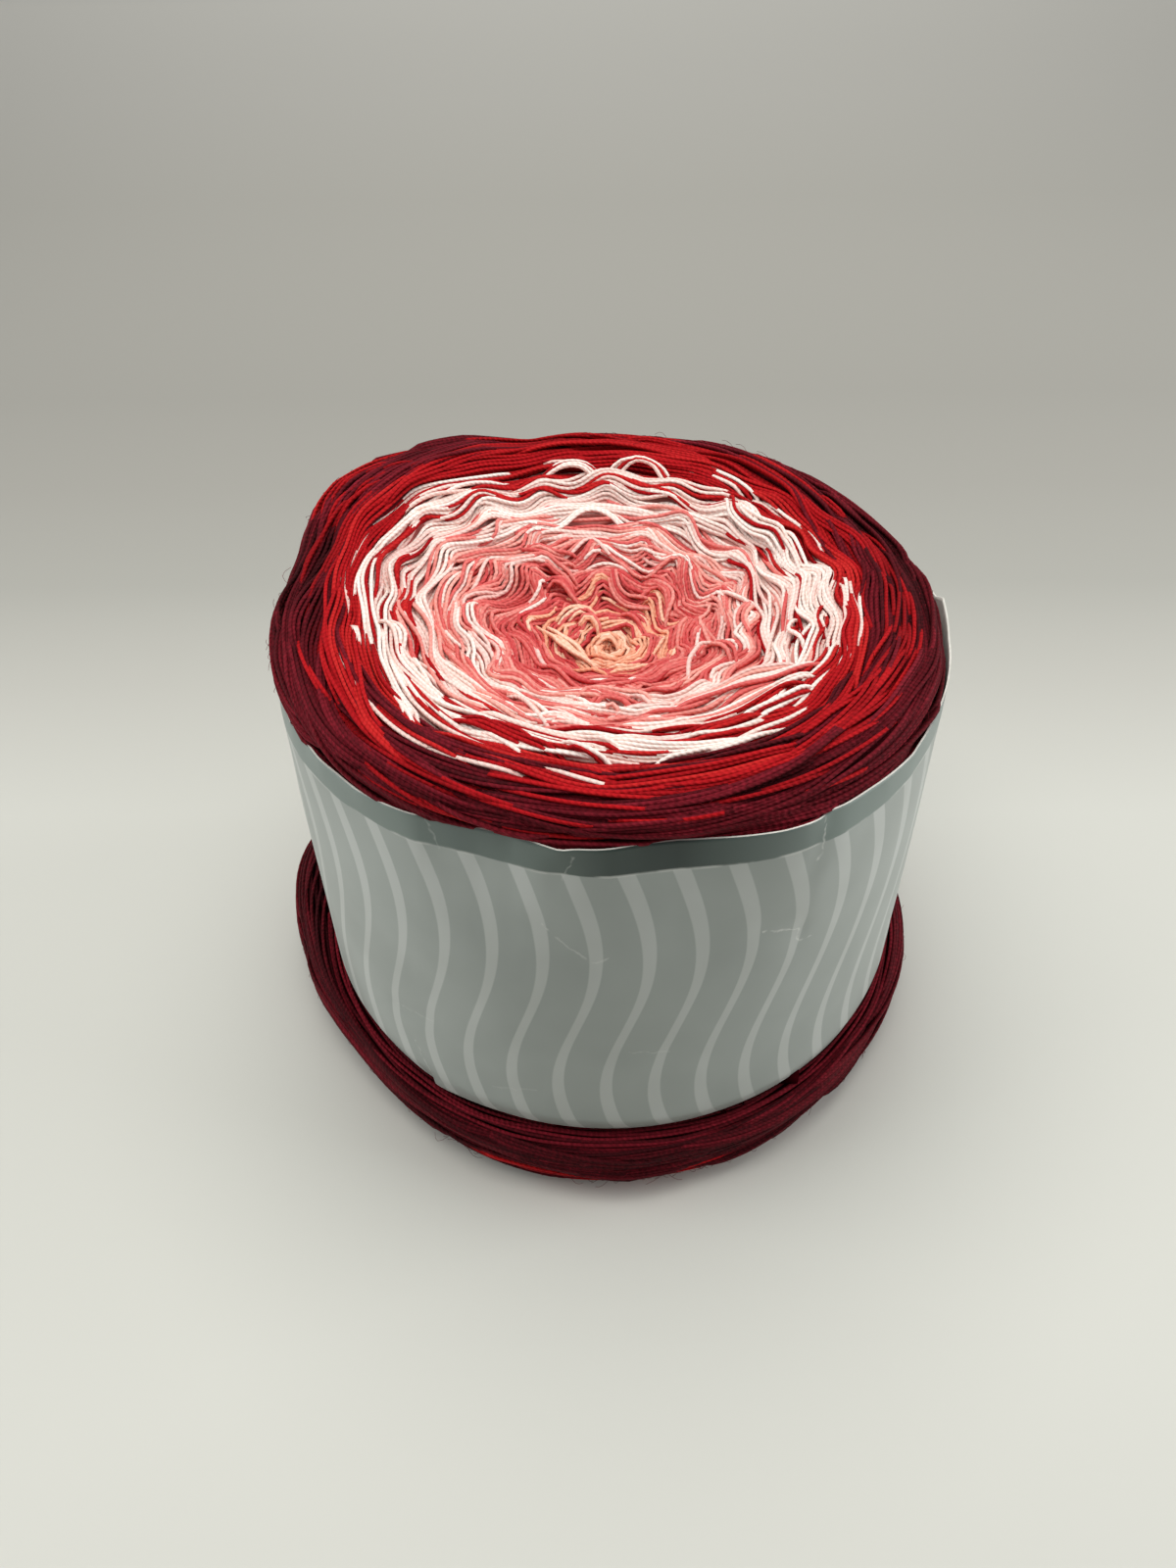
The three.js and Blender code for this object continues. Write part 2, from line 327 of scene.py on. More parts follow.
def spunYarn(name, tones, paintedShadeTint, haze):
    # Spun cotton blend, two plies twisted together and dyed through: matt, and a little uneven in
    # colour. The groove between the plies is 0.12 mm deep and comes round twice in each turn.
    # Its colour carries painted shade: darker in the groove between the plies and on the thread's flanks.
    m = newMaterial(name)
    twist = node(m, "UVMap", uv_map="twist")
    parts = node(m, "SeparateXYZ", {"Vector": twist.outputs["UV"]})
    turns = node(m, "Math", {0: parts.outputs["X"], 2: parts.outputs["Y"]}, {1: 1 / thread["plyLength"]},
                 operation="MULTIPLY_ADD")
    phase = node(m, "Math", {0: turns.outputs[0]}, {1: 2 * tau}, operation="MULTIPLY")
    groove = node(m, "Math", {0: phase.outputs[0]}, operation="SINE")
    level = node(m, "MapRange", {"Value": groove.outputs[0]}, {"From Min": -1.0})
    tone = node(m, "Attribute", attribute_name="tone")
    place = node(m, "TexCoord")
    fibre = node(m, "TexNoise", {"Vector": place.outputs["Object"]}, {"Scale": 1100.0, "Detail": 1.0})
    patchy = node(m, "Math", {0: fibre.outputs["Fac"], 2: tone.outputs["Fac"]}, {1: haze},
                  operation="MULTIPLY_ADD")
    centred = node(m, "Math", {0: patchy.outputs[0]}, {1: haze / 2}, operation="SUBTRACT")
    body = ramp(m, centred.outputs[0], [(0.0, tones[0]), (0.5, tones[1]), (1.0, tones[2])])
    white = (1, 1, 1, 1)
    # painted shade in the groove between the plies
    shade = ramp(m, level.outputs[0], [(0.0, (*paintedShadeTint, 1)), (0.45, white)])
    dyeWithGrooveShade = node(m, "MixRGB", {"Color1": body.outputs["Color"], "Color2": shade.outputs["Color"]},
                   {"Fac": 0.7}, blend_type="MULTIPLY")
    # painted shade on the thread's flanks, away from its top
    top = node(m, "Math", {0: parts.outputs["Y"]}, {1: 0.5 / thread["sides"]}, operation="SUBTRACT")
    acrossTop = node(m, "Math", {0: top.outputs[0]}, {1: 0.5}, operation="PINGPONG")
    paintedFlankShade = ramp(m, acrossTop.outputs[0], [(0.09, white), (0.25, (*paintedShadeTint, 1))])
    # the dyed colour with its painted shade on the flanks
    dyed = node(m, "MixRGB", {"Color1": dyeWithGrooveShade.outputs["Color"], "Color2": paintedFlankShade.outputs["Color"]},
                {"Fac": 0.8}, blend_type="MULTIPLY")
    bump = node(m, "Bump", {"Height": level.outputs[0]}, {"Strength": 0.7, "Distance": 0.00012})
    shader = node(m, "BsdfPrincipled",
                  {"Base Color": dyed.outputs["Color"], "Normal": bump.outputs["Normal"]},
                  {"Roughness": thread["roughness"], "IOR": thread["ior"], "Specular IOR Level": 0.12})
    return finishMaterial(m, shader)


def unit(vectors):
    return vectors / (np.linalg.norm(vectors, axis=1, keepdims=True) + 1e-9)


def cornersRound(points, normals, closed, width, sides):  # a ring of corners round each point
    turns = np.arange(sides) * tau / sides + pi / sides
    ahead = np.roll(points, -1, 0) - np.roll(points, 1, 0)
    if not closed:
        ahead[0], ahead[-1] = points[1] - points[0], points[-1] - points[-2]
    ahead = unit(ahead)
    side = unit(np.cross(ahead, normals))
    up = np.cross(side, ahead)
    ring = np.cos(turns)[None, :, None] * side[:, None, :] + np.sin(turns)[None, :, None] * up[:, None, :]
    return (points[:, None, :] + ring * width / 2).reshape(-1, 3)


def threadMesh(name, strands, material, width=thread["width"], sides=thread["sides"]):
    # strands: (points, normals, tone, closed), all in mm. Each becomes a capped or closed tube.
    verts, tones, faceBlocks, uvBlocks, runs, caps = [], [], [], [], [], []
    base, travelled = 0, 0.0
    for points, normals, tone, closed in strands:
        n = len(points)
        verts.append(cornersRound(points, normals, closed, width, sides))
        tones.append(np.repeat(np.broadcast_to(tone, n), sides))
        steps = n if closed else n - 1
        i = np.arange(steps)[:, None]
        s = np.arange(sides)[None, :]
        nextI, nextS = (i + 1) % n, (s + 1) % sides
        quad = np.stack([i * sides + s, i * sides + nextS, nextI * sides + nextS, nextI * sides + s], -1)
        faceBlocks.append(quad.reshape(-1, 4) + base)
        lengths = np.linalg.norm(np.roll(points, -1, 0) - points, axis=1)[:steps]
        run = np.concatenate([[0], np.cumsum(lengths)])
        u0, u1 = run[:-1, None] + 0 * s, run[1:, None] + 0 * s
        v0, v1 = s / sides + 0 * i, (s + 1) / sides + 0 * i
        corners = ((u0, v0), (u0, v1), (u1, v1), (u1, v0))
        uvBlocks.append(np.stack([np.stack(c, -1) for c in corners], 2).reshape(-1, 2))
        runs.append(travelled + run)
        travelled += run[-1] + 0.5
        if not closed:
            caps.append(list(range(base + sides - 1, base - 1, -1)))
            last = base + (n - 1) * sides
            caps.append(list(range(last, last + sides)))
        base += n * sides
    co = np.concatenate(verts) * mm
    quads = np.concatenate(faceBlocks)
    mesh = bpy.data.meshes.new(name)
    mesh.vertices.add(len(co))
    mesh.vertices.foreach_set("co", co.astype(np.float32).ravel())
    capCorners = np.array([c for cap in caps for c in cap], np.int32)
    mesh.loops.add(quads.size + capCorners.size)
    mesh.loops.foreach_set("vertex_index", np.concatenate([quads.ravel(), capCorners]).astype(np.int32))
    mesh.polygons.add(len(quads) + len(caps))
    starts = np.concatenate([np.arange(len(quads)) * 4, quads.size + np.arange(len(caps)) * sides])
    mesh.polygons.foreach_set("loop_start", starts.astype(np.int32))
    mesh.update(calc_edges=True)
    mesh.polygons.foreach_set("use_smooth", np.ones(len(quads) + len(caps), bool))
    twist = np.concatenate(uvBlocks + [np.zeros((capCorners.size, 2))])
    mesh.uv_layers.new(name="twist").uv.foreach_set("vector", twist.astype(np.float32).ravel())
    atlas = threadAtlas(runs, travelled, twist, quads.size, sides)
    mesh.uv_layers.new(name="OFBake").uv.foreach_set("vector", atlas.astype(np.float32).ravel())
    shown = mesh.attributes.new("tone", "FLOAT", "POINT")
    shown.data.foreach_set("value", np.concatenate(tones).astype(np.float32))
    mesh.materials.append(material)
    print(name, len(strands), "threads", 2 * len(quads), "triangles", round(travelled / 1000, 1), "m")
    return addObject(name, mesh)


def addObject(name, data):
    made = bpy.data.objects.new(name, data)
    scene.collection.objects.link(made)
    return made


def threadAtlas(runs, total, twist, quadCorners, sides):
    # A second map lays every thread end to end in rows, so that each face has its own place.
    rows = thread["mapRows"]
    rowLength = total / (rows - 2)
    starts = np.concatenate([run[:-1] for run in runs])
    lengths = np.concatenate([np.diff(run) for run in runs])
    row = np.floor(starts / rowLength)
    inRow = starts - row * rowLength
    u0, u1 = inRow / rowLength, np.minimum((inRow + lengths) / rowLength, 1)
    u = np.repeat(np.stack([u0, u0, u1, u1], -1), sides, axis=0).ravel()
    v = (np.repeat(row, 4 * sides) + 0.08 + 0.84 * twist[:quadCorners, 1]) / rows
    atlas = np.zeros((len(twist), 2))
    atlas[:quadCorners] = np.stack([u, v], -1)
    atlas[quadCorners:, 1] = 1
    return atlas


sway = {
    "envelope": [(0, 0.15), (8, 0.5), (13, 1.1), (18, 1.8), (26, 2.0), (36, 1.2), (45, 0.55), (50, 0.35),
                 (56, 0.22), (84, 0.12)],
    "calm": [(-170, 0.8), (-140, 0.5), (-110, 0.55), (-80, 0.7), (-30, 0.8), (0, 1.0), (40, 1.1), (70, 0.85),
             (110, 0.75), (140, 0.9)],
    "inner": wander(11, (5, 10), 2.2),
    "middle": wander(12, (8, 15), 2.6),
    "outer": wander(13, (11, 19), 3.4),
    "broad": wander(14, (2, 5), 9.0),
    "heave": wander(15, (6, 15), 2.4),
    "toMiddle": (14, 26),  # rings over which one of these fields gives way to the next
    "toOuter": (32, 44),
    "broadFrom": (4, 20),
    "broadTo": (48, 58),
}


# how far the yarn stands out or in from the solid, in mm, where the photo's outline shows it
rimEase = [
    (-170, -0.9), (-160, 0.0), (-30, 0.0), (-17, -1.2), (-8, -1.8), (0, -1.9), (17, -1.4), (34, -0.2),
    (46, 0.7), (58, 1.0), (75, 0.5), (90, 0.2), (107, -1.3), (120, 0.2), (128, -0.2), (137, -0.3),
    (144, 0.8), (151, 1.9), (157, 1.4), (162, 0.2), (168, -1.5), (176, -2.4),
]
skirtEase = [
    (-175, 0.5), (-163, -0.6), (-155, -1.8), (-147, -2.2), (-134, -2.1), (-125, -1.8), (-118, -1.3),
    (-108, -0.9), (-98, -0.3), (-88, 0.0), (-78, -0.6), (-66, -0.7), (-54, -1.2), (-40, -1.1), (-28, -0.9),
    (-12, -0.3), (20, 0.0), (150, 0.2),
]


def rimLift(angle, ring):
    return around(rimEase, np.degrees(angle)) * smooth(ring, *cake["rimStarts"])


def swayed(angle, ring):  # the slumped windings: outward shift, shift along, and lift
    envelope = np.interp(ring, *zip(*sway["envelope"])) * around(sway["calm"], np.degrees(angle))
    toMiddle, toOuter = smooth(ring, *sway["toMiddle"]), smooth(ring, *sway["toOuter"])
    fields = [sway[k](angle, ring) for k in ("inner", "middle", "outer")]
    wave = fields[0] * (1 - toMiddle) + fields[1] * toMiddle * (1 - toOuter) + fields[2] * toOuter
    quarter = [sway[k](angle + 0.09, ring + 1.5) for k in ("inner", "middle", "outer")]
    side = quarter[0] * (1 - toMiddle) + quarter[1] * toMiddle * (1 - toOuter) + quarter[2] * toOuter
    broad = 0.9 * sway["broad"](angle, ring) * smooth(ring, *sway["broadFrom"])
    out = envelope * wave + broad * (1 - smooth(ring, *sway["broadTo"]))
    lift = envelope * (0.4 * sway["heave"](angle, ring) + 0.22 * wave) + rimLift(angle, ring)
    return out, (0.4 + 0.3 * (1 - toOuter)) * envelope * side, lift


# The cake is counted outward in windings of 1 mm, and the dye changes at the same count all round.
# Its windings don't lie in true rings, so a table says at which ring each change comes.
zones = {
    "names": ("peach", "pink", "white", "red", "burgundy"),
    "starts": (0, 9.0, 30.5, 45.0, 54.5),  # the winding at which each begins
    "step": (0, 2.0, 2.9, 1.1, 0.5),  # from one thread of the yarn to the next
    "last": 82.0,
    # by ring: how many windings two colours mix over, and the share of yarns with an odd thread
    "blend": [(0, 3.2), (14, 3.0), (22, 2.0), (31, 3.4), (40, 2.4), (46, 1.6), (51, 2.0), (56, 2.6),
              (62, 1.6)],
    "oddYarns": [(0, 0.3), (20, 0.5), (30, 0.65), (44, 0.6), (48, 0.3), (52, 0.1), (60, 0.06)],
    "bundles": wander(16, (3, 8), 0.9),  # neighbours mostly share a colour
    "frontMix": 1.0,  # red and burgundy cross more at the front
}
zoneRings = [  # azimuth, then the ring at which pink, white, red and burgundy begin
    (-165, 10.0, 30.0, 46.2, 54.5), (-135, 11.0, 29.5, 45.3, 58.0), (-110, 12.0, 28.0, 45.0, 58.0),
    (-90, 12.5, 27.0, 46.0, 57.0), (-60, 12.5, 27.5, 46.0, 55.0), (-30, 11.5, 27.0, 46.0, 50.0),
    (0, 10.0, 26.0, 44.5, 48.5), (25, 9.5, 26.0, 44.5, 50.0), (55, 9.5, 26.5, 46.0, 55.0),
    (90, 9.5, 27.5, 46.5, 60.0), (120, 8.5, 28.5, 45.5, 55.0), (140, 8.5, 29.0, 45.5, 52.0),
    (170, 8.5, 30.5, 46.6, 52.0),
]
leads = [  # azimuth, then the least and the most that a yarn moves outward in 60 mm
    (-170, 0.0, 8.0), (-140, 4.0, 17.0), (-110, 1.0, 16.0), (-90, -5.0, 14.0), (-45, -2.0, 12.0),
    (0, -1.5, 8.0), (45, -6.0, 5.0), (90, -3.0, 3.0), (140, -2.0, 5.0),
]


def ringOf(winding, angle):
    azimuth = np.degrees(angle)
    counts = list(zones["starts"]) + [zones["last"]]
    rings = [0 * azimuth] + [column(zoneRings, z, azimuth) for z in (1, 2, 3, 4)]
    rings.append(zones["last"] + 0 * azimuth)
    ring = 0 * azimuth
    for z in range(len(counts) - 1):
        share = np.clip((winding - counts[z]) / (counts[z + 1] - counts[z]), 0, 1)
        ring = ring + share * (rings[z + 1] - rings[z])
    return ring


def zoneOf(winding, threadIndex):
    found = 0
    for start, step in zip(zones["starts"][1:], zones["step"][1:]):
        found += winding > start + step * (threadIndex - 1.5)
    return zones["names"][found]


# where each colour's tones start, what they gain outward between two rings, and how far threads differ
# The gain outward is partly the dye's gradient and partly painted shade: pink darker in the crater, red
# darker down the rim.
zoneTones = {
    "peach": (0.5, 0.0, 8, 14, 0.3), "pink": (0.16, 0.44, 12, 30, 0.42), "white": (0.4, 0.25, 28, 40, 0.36),
    "red": (0.5, -0.28, 48, 55, 0.24), "burgundy": (0.4, 0.0, 55, 60, 0.24),
}


def toneOf(zone, ring, depth, rng, n):
    middle, more, low, high, most = zoneTones[zone]
    drift = rng.uniform(-most, most)
    drift = drift + 0.08 * np.sin(np.linspace(0, rng.uniform(3, 9), n) + rng.uniform(0, tau))
    paintedDepthShade = 0.16 * np.clip(depth + 0.4, -1.5, 1.0)  # painted shade: threads deeper down are made darker in tone
    return middle + more * float(smooth(ring, low, high)) + drift + paintedDepthShade


# each layer's first ring and depth, the gap between its yarns, their length, how much of the lead they
# take, and how far each one wanders on its own
layers = [
    {"from": 1.6, "depth": -1.3, "gap": 2.9, "length": None, "lead": 0, "own": 0.6},
    {"from": 2.8, "depth": -0.55, "gap": 2.75, "length": (45, 110), "lead": 0.5, "own": 0.95},
    {"from": 2.8, "depth": 0.05, "gap": 2.85, "length": (34, 90), "lead": 1.0, "own": 1.2},
]
yarn = {
    "longest": 0.8,       # share of the way round that one arc may take
    "fewest": 12,         # points along it
    "lead": 60,           # mm of yarn in which it takes its whole lead
    "dive": 9.0,          # mm over which its ends go down between its neighbours
    "crownDive": 1.9,     # and how far down they go
    "skirtDive": 1.6,
    "strayDive": 1.5,
    "laidDive": 2.7,
    "overlap": 0.9,       # share of the dive in which the next arc has begun
    "stagger": 4.5,       # mm at most by which one thread of it ends before the next
    "calms": (34, 50),    # rings over which the crown's slump gives way to even winding
}
wallRing = 60  # where the yarn is burgundy for good
crownLast = cake["crown"] + cake["rimArc"] - 3


def ends(run, start, stop, over=yarn["dive"]):  # 1 along the yarn, falling to 0 at both of its ends
    return smooth(run, start, start + over) * smooth(stop - run, 0, over)


def threadEnds(run, length, late, early, k):  # thread k of a yarn starts and stops a little off the others
    first, final = max(0, late * (k - 1.5)), length - max(0, early * (k - 1.5))
    return first, final, (run >= first) & (run <= final)


def ripple(rng, lobes, angle, terms=5):  # one yarn's own unrest as it runs round
    return wander(int(rng.integers(1e9)), lobes, 8.0, terms)(angle, 0 * angle)


def arcs(layer, rng, last, gapLeft, wall=None):
    # Arcs of yarn follow one another round each ring, until less than gapLeft degrees of it is bare.
    # On the crown an arc has its ring's radius, and round the skirt's wall they all have the same one.
    closed = layer["length"] is None
    for base in np.arange(layer["from"], last, layer["gap"]):
        at = rng.uniform(0, 360)
        end = at + 360
        while at < end - gapLeft:
            middle = base + (0 if closed else rng.uniform(-1.0, 1.0))
            radius = wall or middle
            length = tau * radius
            if not closed:
                length = min(rng.uniform(*layer["length"]), yarn["longest"] * tau * radius)
            span = degrees(length / radius)
            start, at = at, at + (360 if closed else span - degrees(yarn["overlap"] * yarn["dive"] / radius))
            coarser = thread["coarser"] if middle > thread["coarserFrom"] else 1
            coarser = thread["skirtCoarser"] if wall else coarser
            n = max(yarn["fewest"], int(length / (coarser * thread["segment"])))
            t = np.linspace(0, 1, n, endpoint=not closed)
            yield middle, length, start + span / 2, t, radians(start) + radians(span) * t


def onCrown(angle, ring, lift):  # swayed with the slumped windings, and kept inside the paper
    out, along, heave = swayed(angle, ring)
    place = np.clip(ring + out, 0.4, crownLast + 1.5)
    lift = lift + heave
    points, normals = onSection(crownSection, angle + along / np.maximum(place, 3), place, lift)
    behindPaper(points)
    return points, normals, lift


def windCrown(layer, rng, strands):
    # One layer of yarns over the crown and rim. Each is an arc of four threads that climbs over its
    # neighbours as it runs outward, and dives under them at both ends, one thread after another.
    closed = layer["length"] is None
    for middle, length, halfway, t, angle in arcs(layer, rng, crownLast, 12):
        outer = float(smooth(middle, *yarn["calms"]))
        lead = rng.uniform(*(float(column(leads, i, halfway)) for i in (1, 2)))
        lead *= 0 if closed else layer["lead"] * (0.3 + 0.7 * outer) * length / yarn["lead"]
        bow = 0 if closed else rng.uniform(-1, 1) * (0.6 + 0.8 * outer)
        own = layer["own"] * (1.15 - 0.7 * outer) * min(1, 0.12 + (middle / 20) ** 2)
        lobes = (2, int(np.clip(middle / 1.6, 4, 12 if middle < 38 else 10)))
        winding = middle + lead * (t - 0.5) + bow * np.sin(pi * t)
        ring = ringOf(winding, angle) + own * ripple(rng, lobes, angle)
        turn = (0.2 if closed else 0.7) * ripple(rng, (2, 8), angle)
        rise = 0 if closed else (0.7 + 0.6 * outer) * (t - 0.5) * np.sign(lead)
        swell = cake["wallSwell"] * smooth(middle, cake["wallFrom"] - 6, cake["wallFrom"])
        unrest = 0.25 * (1 - outer) * ripple(rng, (5, 14), angle)
        depth = layer["depth"] + swell + rng.uniform(-0.1, 0.1) + rise + unrest
        azimuth = (halfway + 180) % 360 - 180
        mix = 1.3 * zones["bundles"](radians(azimuth), middle) + rng.uniform(-0.35, 0.35)
        mix *= 1 + zones["frontMix"] * np.exp(-((azimuth + 95) / 45) ** 2) * smooth(middle, 51, 57)
        dyed = middle + mix * float(np.interp(middle, *zip(*zones["blend"])))
        shift = rng.uniform(-5, 9) if middle < 45 else rng.uniform(-2.5, 2.5)
        isOdd = rng.uniform() < np.interp(middle, *zip(*zones["oddYarns"]))
        odd = (rng.integers(0, 4), shift) if isOdd else (0, 0)
        late, early = rng.uniform(-yarn["stagger"], yarn["stagger"], 2)
        for k in range(thread["inYarn"]):
            beside = (k - (thread["inYarn"] - 1) / 2) * thread["spacing"]
            jitter = 0.15 * ripple(rng, (4, 16), angle, 4)
            place = ring + beside * np.cos(turn) + jitter
            lift = depth + 0.8 * beside * np.sin(turn) + rng.uniform(-0.14, 0.14)
            cut = slice(None)
            if not closed:
                first, final, cut = threadEnds(t * length, length, late, early, k)
                dive = min(yarn["dive"], 0.28 * length)
                lift = lift - yarn["crownDive"] * (1 - ends(t * length, first, final, dive))
            points, normals, lift = onCrown(angle, place, lift)
            zone = zoneOf(dyed + (odd[1] if k == odd[0] else 0), k)
            tone = toneOf(zone, middle, lift, rng, len(t))
            strands[zone].append((points[cut], normals[cut], tone[cut], closed))


def behindPaper(points, room=0.1):  # draws in what would stand through the sheet, in place
    x, y = points[:, 0] - cake["axis"][0], points[:, 1] - cake["axis"][1]
    r, azimuth = np.hypot(x, y), np.degrees(np.arctan2(y, x))
    edge = paper["top"] - column(paperTop, 3, azimuth)
    inside = sheetRadius(azimuth, np.minimum(points[:, 2], edge)) - paper["thickness"]
    most = inside - thread["width"] / 2 - room
    # above the sheet and below its foot the yarn is free
    most = most + 9 * smooth(points[:, 2], edge - 0.4, edge + 1.4) + 20 * (points[:, 2] < paper["bottom"] + 2)
    pull = np.minimum(most / np.maximum(r, 1), 1)
    points[:, 0], points[:, 1] = cake["axis"][0] + x * pull, cake["axis"][1] + y * pull


strayThreads = [  # colour, how many, from and to azimuth, from and to ring, shortest and longest in mm
    ("red", 16, -135, -50, 55, 67, 26, 60), ("red", 34, -50, 20, 51, 59, 18, 40),
    ("red", 8, 30, 75, 57, 60, 16, 36), ("red", 16, 140, 215, 54, 59, 16, 32),
    ("red", 8, 70, 150, 57, 61, 24, 60), ("burgundy", 14, -150, -60, 48, 53, 30, 60),
    ("white", 8, 120, 240, 43, 47, 14, 34), ("white", 7, -60, 60, 43, 48, 14, 34),
    ("white", 4, -150, -100, 44, 48, 18, 34), ("red", 20, -60, 40, 36, 46, 14, 34),
    ("red", 10, 50, 130, 40, 46, 14, 34), ("red", 20, 130, 240, 37, 46, 14, 34),
    ("red", 18, -130, -50, 37, 46, 18, 36), ("pink", 40, -180, 180, 28, 40, 14, 34),
    ("pink", 26, -140, -40, 28, 38, 14, 34), ("white", 34, -180, 180, 16, 32, 10, 26),
    ("peach", 26, -180, 180, 8, 15, 8, 20),
]


def windStrays(rng, strands):  # single threads that come up for a short way among another colour's
    for zone, count, fromAz, toAz, fromRing, toRing, shortest, longest in strayThreads:
        for _ in range(count):
            middle, length = rng.uniform(fromRing, toRing), rng.uniform(shortest, longest)
            span = degrees(length / middle)
            n = max(8, int(length / thread["segment"]))
            t = np.linspace(0, 1, n)
            angle = np.radians(rng.uniform(fromAz, toAz) + span * (t - 0.5))
            ring = middle + rng.uniform(0, 6.5) * (t - 0.5) * length / 40
            lift = 0.35 - yarn["strayDive"] * (1 - ends(t * length, 0, length, 0.4 * length))
            points, normals, lift = onCrown(angle, ring, lift)
            strands[zone].append((points, normals, toneOf(zone, middle, lift, rng, n), False))


